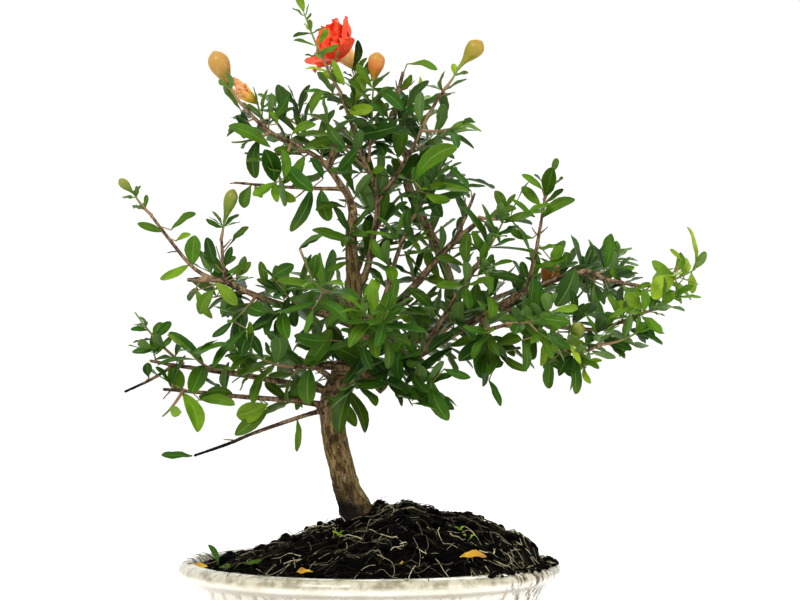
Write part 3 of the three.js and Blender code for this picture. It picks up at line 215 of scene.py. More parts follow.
# Each spray is a green twig with its leaves: the limb it grows from, how far along, the way it
# reaches, the length of its leaves, and its tone.
SPRAYS = {
    "top_shoot": ("leader", 1, (-23, -6, 50), 13, "light"),
    "under_flower": ("leader", 0.86, (4, 24, 30), 24, "mid"),
    "under_orange_bud": ("leader", 0.72, (3, -9, 50), 24, "dark"),
    "leader_left": ("leader", 0.7, (-24, -20, 28), 27, "mid"),
    "leader_back": ("leader", 0.74, (-8, 36, 14), 28, "mid"),
    "upper_left_tip": ("upper_left", 1, (-8, 0, 13), 18, "light"),
    "upper_left_outer": ("upper_left", 0.74, (-22, -10, -6), 24, "dark"),
    "upper_left_under": ("upper_left", 0.6, (-10, -14, -26), 27, "mid"),
    "under_half_open_flower": ("upper_left", 0.78, (-5, 15, 14), 22, "mid"),
    "upper_left_back": ("upper_left", 0.5, (-8, 34, 32), 27, "dark"),
    "right_upper_tip": ("right_upper", 1, (8, -1, 12), 17, "light"),
    "right_upper_side": ("right_upper", 0.62, (26, -16, 4), 27, "mid"),
    "right_upper_back": ("right_upper", 0.5, (14, 36, 12), 27, "dark"),
    "dark_limb_top": ("dark_limb", 0.93, (16, 24, 24), 27, "mid"),
    "dark_limb_right": ("dark_limb", 0.74, (37, -4, -2), 28, "dark"),
    "right_up_tip": ("right_up", 1, (28, -8, 2), 28, "mid"),
    "under_hidden_bud": ("right_main", 0.55, (28, 12, 13), 24, "mid"),
    "inner_tip": ("inner_stem", 1, (16, -14, 28), 29, "dark"),
    "right_tip": ("right_main", 1, (34, -2, 11), 24, "light"),
    "right_shoot_tip": ("right_shoot", 1, (6, 0, 18), 20, "mid"),
    "right_main_back": ("right_main", 0.72, (18, 36, 8), 28, "dark"),
    "right_main_under": ("right_main", 0.5, (10, -22, -22), 33, "dark"),
    "brown_stem_tip": ("brown_stem", 1, (14, -14, 24), 29, "mid"),
    "right_low_tip": ("right_low", 1, (24, -2, 12), 22, "mid"),
    "under_pale_bud": ("right_lowest", 0.3, (18, -19, -6), 21, "light"),
    "right_lowest_tip": ("right_lowest", 1, (22, -2, 8), 24, "mid"),
    "right_lowest_sprig": ("right_lowest", 0.45, (19, -6, -12), 23, "light"),
    "left_mid_under": ("left_mid", 0.55, (-13, -18, -14), 28, "dark"),
    "left_mid_inner": ("left_mid", 0.3, (-12, -34, 12), 31, "dark"),
    "left_mid_back": ("left_mid", 0.6, (-22, 34, 6), 28, "mid"),
    "left_tip_end": ("left_tip", 1, (-11, -1, 14), 13, "mid"),
    "under_left_bud": ("left_bud_stem", 1, (2, 0, 12), 18, "mid"),
    "left_a_side": ("left_a", 0.58, (-13, -21, 13), 26, "mid"),
    "left_rise": ("left_a", 0.76, (-30, 3, 32), 16, "dark"),
    "left_b_side": ("left_b", 0.86, (-11, -10, -14), 28, "mid"),
    "front_branch_tip": ("front_branch", 1, (-26, -18, 10), 29, "mid"),
    "front_knot": ("front_branch", 0.12, (30, -22, -4), 34, "dark"),
    "front_branch_under": ("front_branch", 0.5, (4, -22, -10), 36, "dark"),
    "front_low_tip": ("front_low", 1, (8, -38, 12), 29, "mid"),
    "front_high_tip": ("front_high", 1, (-12, -38, 7), 29, "mid"),
    "front_right_tip": ("front_right", 1, (24, -30, 8), 28, "mid"),
    "back_left_tip": ("back_left", 1, (-12, 35, 11), 29, "dark"),
    "back_right_tip": ("back_right", 1, (19, 40, 10), 29, "mid"),
    "back_high_tip": ("back_high", 1, (8, 36, 26), 28, "mid"),
    "back_low_tip": ("back_low", 1, (-14, 34, 8), 28, "dark"),
    "back_far_right_tip": ("back_far_right", 1, (32, 6, 13), 27, "mid"),
}

# Each bud stands on a spray's end: the way it reaches, its half width and its tone.
BUDS = {
    "golden_bud": ("upper_left_tip", (-9, 0, 20), 7, "golden"),
    "orange_bud": ("under_orange_bud", (3, -2, 18), 5.6, "orange"),
    "right_bud": ("right_upper_tip", (15, 0, 18), 6, "olive"),
    "hidden_bud": ("under_hidden_bud", (7, 1, 15), 7, "orange"),
    "left_tip_bud": ("left_tip_end", (-9, 0, 9), 3.2, "green"),
    "left_bud": ("under_left_bud", (6, 0, 21), 4.4, "green"),
    "pale_bud": ("under_pale_bud", (5, 0, 13), 4.8, "green"),
}

# Each flower: its spray, the way it looks, its cup's length and mouth radius, its petals' length
# and width, how many there are, and how far they spread.
FLOWERS = {
    "open_flower": {
        "spray": "under_flower", "reach": (-11, -4, 13), "cup": 16, "mouth": 6.6, "petals": 6,
        "length": 23, "width": 17, "spread": 0.85,
    },
    "half_open_flower": {
        "spray": "under_half_open_flower", "reach": (-13, -2, 10), "cup": 10, "mouth": 4.4,
        "petals": 4, "length": 11, "width": 6.5, "spread": 0.45,
    },
}
TOPPED = {bud[0] for bud in BUDS.values()} | {flower["spray"] for flower in FLOWERS.values()}

# ---------------------------------------------------------------- numbers and directions


def random_from(seed):
    """The repeatable numbers from 0 to 1 that the CAD model draws."""
    state = seed * 7919 + 17

    def draw():
        nonlocal state
        state = state * 16807 % 2147483647
        return state / 2147483647

    return draw


def lerp(least, most, share):
    return (1 - share) * least + share * most


def unit(vector):
    return vector / math.sqrt(vector @ vector)


def vec(*values):
    return np.array(values, float)


def limb_point(points, t):
    """A Catmull-Rom line through a limb's points, evenly shared among them."""
    place = np.array(points, float)[:, :3]
    last = len(place) - 1
    index = min(int(t * last), last - 1)
    share = t * last - index
    start, end = place[index], place[index + 1]
    before = place[index - 1] if index > 0 else 2 * start - end
    after = place[index + 2] if index + 2 <= last else 2 * end - start
    leave, arrive = 0.5 * (end - before), 0.5 * (after - start)
    square = -3 * start + 3 * end - 2 * leave - arrive
    cube = 2 * start - 2 * end + leave + arrive
    return start + leave * share + square * share**2 + cube * share**3


def limb_axis(points, t):
    middle = min(max(t, AXIS_STEP), 1 - AXIS_STEP)
    return unit(limb_point(points, middle + AXIS_STEP) - limb_point(points, middle - AXIS_STEP))


def limb_radius(points, t):
    place = t * (len(points) - 1)
    index = min(int(place), len(points) - 2)
    return lerp(points[index][3], points[index + 1][3], place - index)


# ---------------------------------------------------------------- growth


class Room:
    """Balls that stand for what is in place, so that nothing grown later runs through it."""

    def __init__(self):
        self.places = np.zeros((0, 3))
        self.radii = np.zeros(0)

    def take(self, balls):
        self.places = np.vstack([self.places, [place for place, _ in balls]])
        self.radii = np.append(self.radii, [radius for _, radius in balls])

    def is_clear(self, balls):
        for place, radius in balls:
            apart = ((self.places - place) ** 2).sum(1)
            if (apart < (self.radii + radius) ** 2).any():
                return False
        return True


room = Room()


def take_limbs():
    for points in LIMBS.values():
        count = (len(points) - 1) * LIMB_STATIONS
        shares = [i / count for i in range(count + 1)]
        room.take([(limb_point(points, t), limb_radius(points, t) + BARK_ROOM) for t in shares])


def twig_of(limb, along, reach):
    points = LIMBS[limb]
    heading = unit(vec(*reach))
    axis = limb_axis(points, along)
    lean = heading @ axis
    start = limb_point(points, along)
    if along == 1:
        start = start + axis * (GAP + TWIG_RADIUS * math.sqrt(1 - lean * lean))
    else:
        outward = unit(heading - lean * axis)
        start = start + outward * (limb_radius(points, along) + TWIG_RADIUS * abs(lean) + GAP)
    return new_twig(start, vec(*reach))


def new_twig(start, reach):
    length = math.sqrt(reach @ reach)
    return {"start": start, "reach": reach, "rise": TWIG_RISE * length, "length": length}


def twig_point(twig, t):
    place = twig["start"] + twig["reach"] * t
    place[2] += twig["rise"] * (t * t - t)
    return place


def twig_frame(twig, t):
    """Along the twig, and two ways across it."""
    axis = twig["reach"].copy()
    axis[2] += twig["rise"] * (2 * t - 1)
    axis = unit(axis)
    x, y, z = abs(twig["reach"])
    least = vec(1, 0, 0) if x <= y and x <= z else vec(0, 1, 0) if y <= z else vec(0, 0, 1)
    across = unit(np.cross(axis, least))
    return axis, across, np.cross(axis, across)


def outward_at(twig_axes, turn):
    return twig_axes[1] * math.cos(turn) + twig_axes[2] * math.sin(turn)


def twig_radius(t):
    return lerp(TWIG_RADIUS, TWIG_TIP_RADIUS, t)


def make_leaf(twig, t, turn, aside, spread, length, chance):
    axes = twig_frame(twig, t)
    root = twig_point(twig, t) + outward_at(axes, turn) * (twig_radius(t) * math.sqrt(0.5))
    heading = axes[0] * math.cos(spread) + outward_at(axes, turn + aside) * math.sin(spread)
    face = vec(chance[0] - 0.5, chance[1] - 0.5 - FACE_FORWARD, FACE_UP) + FACE_TO_TIP * axes[0]
    face = unit(face - heading * (face @ heading))
    return {
        "root": root, "heading": heading, "face": face, "side": np.cross(face, heading),
        "length": length, "fold": lerp(*LEAF_FOLDS, chance[2]), "droop": LEAF_DROOP * chance[3],
    }


def leaf_balls(leaf):
    half_width = leaf["length"] * LEAF_WIDTH_RATIO * 0.5
    balls = []
    for along, share in LEAF_STATIONS:
        reach = leaf["heading"] * (along * leaf["length"])
        sag = leaf["face"] * (leaf["droop"] * leaf["length"] * along * along)
        balls.append((leaf["root"] + reach - sag, half_width * share))
    return balls


OUTLINE_STARTS = np.array(CROWN_OUTLINE, float)
OUTLINE_ENDS = np.roll(OUTLINE_STARTS, -1, axis=0)


def in_crown(place):
    """Whether a place lies within the crown's outline as seen from the front."""
    (x1, z1), (x2, z2) = OUTLINE_STARTS.T, OUTLINE_ENDS.T
    x, _, z = place
    rise = np.where(z1 == z2, 1, z2 - z1)
    crossed = ((z1 > z) != (z2 > z)) & (x < x1 + (z - z1) * (x2 - x1) / rise)
    return crossed.sum() % 2 == 1


def find_leaf(shoot, t, side, spread, length, draw):
    """A leaf with room inside the crown, of those turned more and more aside, or None."""
    chance = [draw() for _ in range(4)]
    turn = shoot["turn"] + side * (math.pi / 2)
    for aside in ASIDE:
        leaf = make_leaf(shoot["twig"], t, turn, aside, spread, length, chance)
        balls = leaf_balls(leaf)
        if all(in_crown(place) for place, _ in balls) and room.is_clear(balls):
            return leaf
    return None


def fork_of(shoot, t, side):
    twig = shoot["twig"]
    axes = twig_frame(twig, t)
    outward = outward_at(axes, shoot["turn"] + side * (math.pi / 2))
    tangent = outward_at(axes, shoot["turn"] + (side + 1) * (math.pi / 2))
    length = FORK_SHARE * twig["length"]
    reach = axes[0] * (length * math.cos(FORK_SPREAD)) + outward * (length * math.sin(FORK_SPREAD))
    fork = new_twig(twig_point(twig, t) + outward * (twig_radius(t) * math.sqrt(0.5)), reach)
    corner = -STALK_HEIGHT * axes[0] - tangent * (twig_radius(t) * math.sqrt(2))
    _, across, third = twig_frame(fork, 0)
    return {"twig": fork, "turn": math.atan2(corner @ third, corner @ across) + math.pi / 4}


def twig_balls(twig):
    return [(twig_point(twig, t), TWIG_RADIUS + BARK_ROOM) for t in TWIG_STATIONS]


def grow_shoot(shoot, size, draw, forks, topped):
    """Pairs of leaves stand crosswise along a shoot, from its tip down, as in the CAD."""
    twig = shoot["twig"]
    margin = TOPPED_MARGIN if topped else TIP_MARGIN
    pair_count = int((twig["length"] - margin - FIRST_PAIR) // NODE_SPACING) + 1
    shoot.update(leaves=[], shoots=[], nodes=[], size=size)
    for pair in range(pair_count):
        t = 1 - (margin + pair * NODE_SPACING) / twig["length"]
        young = YOUNG_SHARES[pair] if pair < len(YOUNG_SHARES) else 1
        spread = TIP_SPREAD if pair == 0 and not topped else lerp(*SPREADS, draw())
        shoot["nodes"].append(t)
        for half in (0, 2):
            side = pair % 2 + half
            fork = fork_of(shoot, t, side)
            if forks and FORK_PAIRS.get(pair) == half and room.is_clear(twig_balls(fork["twig"])):
                room.take(twig_balls(fork["twig"]))
                shoot["shoots"].append(grow_shoot(fork, FORK_LEAF_SIZE * size, draw, False, False))
                continue
            length = size * young * lerp(*LEAF_VARIETY, draw())
            leaf = find_leaf(shoot, t, side, spread, length, draw)
            if leaf:
                shoot["leaves"].append(leaf)
                room.take(leaf_balls(leaf))
    return shoot


def grow_spray(name, seed):
    limb, along, reach, size, _ = SPRAYS[name]
    draw = random_from(seed)
    twig = twig_of(limb, along, reach)
    forks = twig["length"] > FORKED_FROM and size > YOUNG_SIZE
    shoot = {"twig": twig, "turn": draw() * math.pi}
    grow_shoot(shoot, size, draw, forks, name in TOPPED)
    room.take(twig_balls(twig))
    return shoot


def beyond_twig(twig, reach, foot_radius):
    axis = twig_frame(twig, 1)[0]
    lean = axis @ unit(vec(*reach))
    tilt = math.sqrt(1 - lean * lean)
    return twig_point(twig, 1) + axis * (GAP + (foot_radius + TWIG_TIP_RADIUS) * tilt)


def bud_start(name):
    spray, reach, radius, tone = BUDS[name]
    twig = twig_of(*SPRAYS[spray][:3])
    if tone == "green":
        return twig_point(twig, 1 - 1 / twig["length"])
    return beyond_twig(twig, reach, BUD_FOOT * radius)


def flower_start(name):
    flower = FLOWERS[name]
    twig = twig_of(*SPRAYS[flower["spray"]][:3])
    return beyond_twig(twig, flower["reach"], CUP_FOOT * flower["mouth"])


def take_buds_and_flowers():
    for name, (_, reach, radius, _) in BUDS.items():
        start = bud_start(name)
        room.take([(start + vec(*reach) * t, share * radius) for t, share in BUD_STATIONS])
    for name, flower in FLOWERS.items():
        start, heading = flower_start(name), unit(vec(*flower["reach"]))
        petal_reach = PETAL_STATION[0] * flower["length"] * math.cos(flower["spread"])
        middle = start + heading * (PETAL_STATION_START * flower["cup"] + petal_reach)
        room.take([
            (start + heading * (CUP_STATION[0] * flower["cup"]), CUP_STATION[1] * flower["mouth"]),
            (middle, PETAL_STATION[1] * flower["length"]),
        ])


# ---------------------------------------------------------------- foliage beyond the CAD's

SPUR_SPACING = 9
SPARSE_SPACING = {
    "left_a": 30, "left_b": 26, "left_mid": 12, "right_up": 15, "right_upper": 18, "trunk": 30,
    "back_low": 24, "back_high": 18, "front_high": 16, "dark_limb": 12, "back_left": 14,
}
SHOWN_FROM = {  # share of a limb from which its front stays bare
    "leader": 0, "right_upper": 0, "upper_left": 0, "left_a": 0, "left_b": 0, "right_up": 0,
    "left_mid": 0, "front_branch": 0, "right_main": 0.4,
}
SPUR_LENGTH = 6
SPUR_SHARES = (0.7, 1.3)  # least and most of its length
SPUR_LEAF_SIZES = (25, 18)  # where a limb begins, and at its tip
SPUR_SPREADS = (0.45, 1.2)
SPUR_LEAF_PLACES = (0.6, 0.72, 0.84, 0.96)
SPURS_FROM = {"trunk": 0.6, "front_branch": 0.35, "dark_limb": 0.2}
SPURS_START = 0.14  # share of any other limb without spurs
BARE_LIMBS = {
    "cut_leader", "left_straight_twig", "left_cut_twig", "gnarled_stub", "right_shoot", "left_tip",
    "left_bud_stem", "left_drooping", "right_up_twig", "left_a_twig",
}
GOLDEN_TURN = 2.39996
AIRY_SPRAYS = {  # without small leaves between their pairs
    "left_a_side", "left_mid_under", "left_rise", "left_b_side", "left_mid_back", "back_low_tip",
    "front_high_tip", "back_high_tip", "leader_left", "right_up_tip", "right_shoot_tip", "right_tip",
    "dark_limb_top", "dark_limb_right", "top_shoot", "upper_left_outer", "upper_left_under",
    "right_upper_side",
}
AXIL_SIZES = (0.45, 0.75)  # of a small leaf between a pair, over the shoot's leaves
AXIL_SPREADS = (0.5, 1.0)
CLOSE_ROOM = 0.55  # how much of its own room an added leaf asks for
ROOT_DEPTH = 0.7  # where added growth begins, over the radius of what carries it
ODD_WAY = vec(0.3, 0.2, 1)  # a direction that no limb has
SPUR_LEAN = 0.5  # how strongly a spur points to its limb's tip


def close_balls(leaf):
    return [(place, radius * CLOSE_ROOM) for place, radius in leaf_balls(leaf)[1:]]


def find_close_leaf(shoot, t, side, spread, length, draw):
    """A leaf that may stand closer to its neighbours than the CAD's do."""
    chance = [draw() for _ in range(4)]
    turn = shoot["turn"] + side * (math.pi / 2)
    for aside in ASIDE:
        leaf = make_leaf(shoot["twig"], t, turn, aside, spread, length, chance)
        balls = close_balls(leaf)
        if all(in_crown(place) for place, _ in balls) and room.is_clear(balls):
            room.take(balls)
            return [leaf]
    return []


def add_axil_leaves(shoot, draw):
    for t in shoot["nodes"]:
        for side in (0.5, 2.5):
            length = shoot["size"] * lerp(*AXIL_SIZES, draw())
            shoot["leaves"] += find_close_leaf(shoot, t, side, lerp(*AXIL_SPREADS, draw()), length, draw)
    for fork in shoot["shoots"]:
        add_axil_leaves(fork, draw)


def limb_length(points):
    places = np.array(points, float)[:, :3]
    return np.sqrt((np.diff(places, axis=0) ** 2).sum(1)).sum()


def grow_spur(points, along, turn, shown, draw):
    """A short leafy spur that stands out of a limb's bark."""
    axis = limb_axis(points, along)
    across = unit(np.cross(axis, ODD_WAY))
    outward = across * math.cos(turn) + np.cross(axis, across) * math.sin(turn)
    if shown and outward[1] < 0:
        outward = -outward
    start = limb_point(points, along) + outward * (ROOT_DEPTH * limb_radius(points, along))
    reach = unit(outward + SPUR_LEAN * axis) * (SPUR_LENGTH * lerp(*SPUR_SHARES, draw()))
    spur = {"twig": new_twig(start, reach), "turn": draw() * math.pi, "shoots": [], "leaves": []}
    size = lerp(*SPUR_LEAF_SIZES, along)
    for side, t in enumerate(SPUR_LEAF_PLACES):
        length = size * lerp(*LEAF_VARIETY, draw())
        spur["leaves"] += find_close_leaf(spur, t, side, lerp(*SPUR_SPREADS, draw()), length, draw)
    return spur


def grow_spurs(name, draw):
    points = LIMBS[name]
    first = SPURS_FROM.get(name, SPURS_START)
    count = int(limb_length(points) * (1 - first) / SPARSE_SPACING.get(name, SPUR_SPACING))
    places = [(lerp(first, 1, (index + draw()) / count), index * GOLDEN_TURN) for index in range(count)]
    shown_from = SHOWN_FROM.get(name, 1)
    spurs = [grow_spur(points, along, turn, along > shown_from, draw) for along, turn in places]
    return [spur for spur in spurs if spur["leaves"]]


# ---------------------------------------------------------------- leaves that stand out in front

PIXEL = 0.65  # one of the picture's points, in the plane of the trunk
PIXEL_ORIGIN = (369.5, 655.4)  # where the picture shows x = 0 at height 0
EYE = vec(19.8, -1690, 231)
SAME_STEM = 4  # how much further off a stem may be and still carry a leaf if it is nearer the eye
LONGEST_STALK = 5  # beyond that, a leaf stands on a twiglet
LEANS = (-0.35, -0.6, -0.15, -0.9, 0.1, -1.2)  # towards the back, over the length that is seen
FULL_WIDTH = 0.28  # of a leaf that shows its edge, over its length
FRONT_FOLD = 0.25
FRONT_DROOP = 0.08
FORWARD = vec(0, -2, 0)  # how far a leaf's way out of its stem turns to the front
STALK_RISE = 0.3  # how far a stalk comes to the front, over how far it reaches aside
FULLEST_VIEW = 0.97  # most of a blade's width that is seen
LIMB_STATION_STEP = 2
TWIG_STATION_SHARES = np.linspace(0.05, 1, 14)

# Pixels of a leaf's foot and tip, its width as seen over its length, and its tone.
FRONT_LEAVES = [
    # left side
    (167, 235, 138, 223, 0.3, 0.4), (171, 230, 194, 212, 0.2, 0.3), (176, 241, 190, 234, 0.35, 0.4),
    (198, 269, 194, 236, 0.55, 0.5), (194, 269, 160, 278, 0.25, 0.75), (215, 264, 207, 238, 0.4, 0.25),
    (215, 289, 199, 313, 0.45, 0.4), (220, 283, 237, 304, 0.37, 0.5), (266, 291, 261, 262, 0.28, 0.2),
    (272, 277, 291, 265, 0.35, 0.2), (316, 278, 316, 254, 0.44, 0.3), (299, 249, 320, 235, 0.15, 0.4),
    (247, 329, 211, 365, 0.17, 0.35), (253, 333, 242, 353, 0.4, 0.3), (193, 358, 224, 341, 0.15, 0.5),
    (186, 391, 198, 431, 0.4, 0.6), (178, 369, 177, 391, 0.68, 0.55), (268, 404, 237, 415, 0.6, 0.78),
    (268, 410, 235, 434, 0.35, 0.2), (301, 417, 295, 451, 0.22, 0.7), (310, 368, 308, 404, 0.52, 0.25),
    (298, 383, 297, 410, 0.32, 0.45), (192, 453, 162, 453, 0.15, 0.4), (200, 400, 234, 404, 0.3, 0.2),
    (149, 378, 148, 363, 0.6, 0.2), (146, 328, 131, 329, 0.3, 0.3), (155, 331, 170, 322, 0.4, 0.35),
    (159, 343, 132, 350, 0.15, 0.4), (290, 356, 261, 361, 0.2, 0.4), (270, 380, 255, 360, 0.15, 0.3),
    (222, 264, 205, 251, 0.4, 0.15), (220, 262, 231, 247, 0.35, 0.2), (222, 267, 246, 262, 0.25, 0.4),
    (232, 275, 243, 266, 0.3, 0.15), (241, 275, 250, 262, 0.45, 0.1), (230, 244, 247, 226, 0.2, 0.25),
    (224, 222, 207, 219, 0.25, 0.3), (330, 340, 295, 335, 0.35, 0.5), (306, 362, 330, 330, 0.4, 0.45),
    (325, 352, 303, 362, 0.3, 0.55), (234, 402, 199, 396, 0.33, 0.25), (232, 393, 207, 392, 0.35, 0.3),
    # hanging under the straight twigs
    (317, 190, 290, 230, 0.27, 0.3), (257, 184, 243, 207, 0.5, 0.25), (328, 190, 329, 220, 0.45, 0.4),
    (284, 190, 296, 201, 0.45, 0.75), (261, 188, 262, 197, 0.5, 0.4), (345, 207, 317, 208, 0.2, 0.3),
    (360, 244, 315, 227, 0.17, 0.4), (349, 255, 327, 269, 0.25, 0.45), (300, 247, 321, 234, 0.15, 0.35),
    # upper left
    (270, 147, 231, 125, 0.25, 0.4), (280, 177, 266, 152, 0.4, 0.3), (284, 178, 283, 150, 0.35, 0.3),
    (284, 187, 304, 157, 0.32, 0.4), (323, 179, 311, 158, 0.35, 0.3), (338, 171, 355, 151, 0.35, 0.3),
    (278, 124, 270, 112, 0.4, 0.75), (292, 134, 315, 124, 0.35, 0.7), (309, 146, 331, 139, 0.33, 0.7),
    (272, 118, 288, 94, 0.35, 0.25), (284, 120, 284, 100, 0.35, 0.15), (311, 116, 321, 91, 0.35, 0.2),
    # top
    (303, 19, 296, -6, 0.42, 0.8), (305, 26, 311, 13, 0.3, 0.5), (310, 40, 293, 35, 0.15, 0.2),
    (314, 38, 325, 26, 0.15, 0.3), (316, 56, 305, 54, 0.15, 0.3), (317, 54, 337, 45, 0.25, 0.55),
    (353, 67, 357, 41, 0.28, 0.25), (333, 60, 344, 84, 0.3, 0.55),
    (331, 118, 345, 146, 0.28, 0.3), (357, 138, 392, 125, 0.25, 0.3), (353, 116, 372, 108, 0.45, 0.7),
    (396, 97, 411, 75, 0.4, 0.2), (407, 64, 437, 68, 0.22, 0.35), (360, 79, 382, 57, 0.3, 0.45),
    (352, 70, 366, 58, 0.3, 0.35), (331, 69, 343, 83, 0.35, 0.65), (376, 95, 403, 109, 0.33, 0.25),
    (402, 114, 431, 107, 0.3, 0.25), (419, 183, 453, 147, 0.25, 0.5), (441, 136, 476, 128, 0.15, 0.6),
    (443, 163, 470, 187, 0.2, 0.45), (421, 189, 470, 189, 0.18, 0.5), (425, 193, 450, 200, 0.4, 0.7),
    (372, 179, 384, 167, 0.55, 0.75),
    # right side
    (479, 318, 481, 378, 0.38, 0.25), (575, 269, 556, 305, 0.5, 0.22), (531, 297, 540, 329, 0.6, 0.45),
    (634, 320, 655, 339, 0.33, 0.5), (677, 275, 653, 297, 0.5, 0.85), (693, 270, 690, 227, 0.18, 0.85),
    (688, 276, 693, 293, 0.45, 0.8), (675, 275, 653, 261, 0.4, 0.75), (682, 265, 671, 249, 0.3, 0.7),
    (677, 283, 682, 303, 0.25, 0.7), (654, 307, 674, 293, 0.4, 0.5), (607, 256, 611, 234, 0.42, 0.65),
    (533, 275, 566, 256, 0.2, 0.45), (551, 260, 562, 246, 0.6, 0.4), (536, 254, 560, 242, 0.2, 0.5),
    (524, 287, 491, 273, 0.2, 0.4), (530, 287, 522, 262, 0.45, 0.15), (540, 205, 522, 186, 0.4, 0.6),
    (542, 189, 523, 174, 0.25, 0.5), (546, 191, 552, 170, 0.38, 0.4), (545, 199, 562, 188, 0.15, 0.4),
    (545, 217, 574, 199, 0.3, 0.55), (535, 217, 513, 198, 0.22, 0.5), (533, 238, 510, 229, 0.35, 0.45),
    (501, 226, 526, 212, 0.33, 0.4), (501, 211, 496, 191, 0.5, 0.4), (504, 207, 515, 194, 0.3, 0.2),
    (471, 191, 440, 181, 0.25, 0.4), (489, 250, 473, 232, 0.4, 0.2), (644, 291, 625, 299, 0.6, 0.5),
    (641, 310, 628, 293, 0.6, 0.5), (549, 363, 576, 371, 0.35, 0.5), (522, 340, 526, 370, 0.3, 0.4),
    # low in the middle
    (340, 375, 366, 431, 0.25, 0.25), (325, 396, 356, 425, 0.3, 0.3), (338, 361, 330, 320, 0.3, 0.3),
    (431, 376, 449, 420, 0.35, 0.4), (389, 377, 416, 397, 0.3, 0.3), (414, 372, 427, 390, 0.3, 0.25),
    (444, 369, 470, 377, 0.3, 0.25), (489, 380, 502, 405, 0.2, 0.3),
    (386, 362, 371, 375, 0.4, 0.3), (372, 365, 338, 347, 0.3, 0.35),
    (396, 352, 412, 374, 0.4, 0.2), (402, 350, 400, 378, 0.35, 0.3), (421, 362, 405, 338, 0.3, 0.25),
    (384, 336, 388, 368, 0.32, 0.15), (360, 352, 350, 330, 0.4, 0.5), (366, 326, 382, 342, 0.4, 0.7),
    (608, 289, 596, 300, 0.4, 0.3), (622, 284, 612, 268, 0.4, 0.5), (636, 290, 650, 283, 0.35, 0.6),
    (345, 240, 313, 228, 0.2, 0.4),
]


def seen_at(across, down, depth):
    """The place at that depth that the picture shows at a pixel."""
    plane = vec((across - PIXEL_ORIGIN[0]) * PIXEL, 0, (PIXEL_ORIGIN[1] - down) * PIXEL)
    return EYE + (plane - EYE) * ((depth - EYE[1]) / -EYE[1])


def stem_stations():
    """Places along all limbs and twigs, and how thick each is there."""
    places, radii = [], []
    for points in LIMBS.values():
        for t in np.linspace(0, 1, int(limb_length(points) / LIMB_STATION_STEP) + 2):
            places.append(limb_point(points, t))
            radii.append(limb_radius(points, t))
    for shoot in all_shoots(sprays.values()):
        for t in TWIG_STATION_SHARES:
            places.append(twig_point(shoot["twig"], t))
            radii.append(STEM_RADII[1])
    return np.array(places), np.array(radii)


def all_shoots(shoots):
    for shoot in shoots:
        yield shoot
        yield from all_shoots(shoot["shoots"])


def turned_face(heading, seen_share):
    """An upper face that looks at the eye as far as the leaf's width is seen, and else upwards."""
    to_eye = vec(0, -1, 0)
    to_eye = unit(to_eye - heading * (heading @ to_eye))
    other = np.cross(heading, to_eye)
    other = other if other[2] > 0 else -other
    tilt = math.acos(min(FULLEST_VIEW, seen_share))
    return to_eye * math.cos(tilt) + other * math.sin(tilt)


def grow_front_leaf(row, places, radii):
    """A leaf on the stem that is seen nearest to its foot. It leans until it finds room."""
    foot_x, foot_y, tip_x, tip_y, width, tone = row
    wanted = seen_at(foot_x, foot_y, 0)
    shown = EYE + (places - EYE) * (-EYE[1] / (places[:, 1] - EYE[1]))[:, None]
    apart = np.hypot(*(shown - wanted)[:, [0, 2]].T)
    near = np.flatnonzero(apart < apart.min() + SAME_STEM)
    carrier = near[np.argmin(places[near, 1])]
    stem = places[carrier]
    out = unit(seen_at(tip_x, tip_y, stem[1]) - stem + FORWARD)
    root, stalk = stem + out * (ROOT_DEPTH * radii[carrier]), None
    if apart[carrier] > LONGEST_STALK:
        root = seen_at(foot_x, foot_y, stem[1] - STALK_RISE * apart[carrier])
        stalk = (stem, root)
    flat = seen_at(tip_x, tip_y, root[1]) - root
    true_width = max(width, FULL_WIDTH)
    for lean in LEANS:
        tip = seen_at(tip_x, tip_y, root[1] + lean * math.sqrt(flat @ flat))
        length = math.sqrt((tip - root) @ (tip - root))
        heading = (tip - root) / length
        face = turned_face(heading, width / true_width)
        leaf = {
            "root": root, "heading": heading, "face": face, "side": np.cross(face, heading),
            "length": length, "fold": FRONT_FOLD, "droop": FRONT_DROOP, "width": true_width,
            "tone": tone, "stalk": stalk,
        }
        balls = close_balls(leaf)
        if room.is_clear(balls):
            break
    room.take(balls)
    return leaf


# ---------------------------------------------------------------- meshes

SHARP_ANGLE = math.radians(50)


class Skin:
    """Points and faces of a piece as it is made. Each point has four numbers for the material."""

    def __init__(self):
        self.points, self.marks, self.faces, self.slots = [], [], [], []
        self.count = 0

    def add(self, points, faces, marks, slot=0):
        points = np.asarray(points, float).reshape(-1, 3)
        self.points.append(points)
        self.marks.append(np.broadcast_to(np.asarray(marks, float), (len(points), 4)))
        self.faces += [tuple(corner + self.count for corner in face) for face in faces]
        self.slots += [slot] * len(faces)
        self.count += len(points)


def mesh_of(name, skin):
    mesh = bpy.data.meshes.new(name)
    mesh.from_pydata((np.vstack(skin.points) * MM).tolist(), [], skin.faces)
    marks = mesh.attributes.new("mark", "FLOAT_COLOR", "POINT")
    marks.data.foreach_set("color", np.vstack(skin.marks).astype(np.float32).ravel())
    mesh.polygons.foreach_set("material_index", skin.slots)
    mesh.shade_smooth()
    mesh.set_sharp_from_angle(angle=SHARP_ANGLE)
    return mesh


def link_new(name, data):
    made = bpy.data.objects.new(name, data)
    bpy.context.collection.objects.link(made)
    return made


def applied(blank):
    """A blank's mesh with its modifiers applied. The blank itself is removed."""
    result = bpy.data.meshes.new_from_object(blank.evaluated_get(bpy.context.evaluated_depsgraph_get()))
    bpy.data.objects.remove(blank)
    return result


def add_piece(name, mesh, materials, slot, *nodes):
    piece = link_new(name, mesh)
    for material in materials:
        mesh.materials.append(material)
    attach(piece, "root")
    if nodes:
        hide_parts(*nodes)


def add_skin(name, skin, materials, slot, *nodes):
    add_piece(name, mesh_of(name, skin), materials, slot, *nodes)


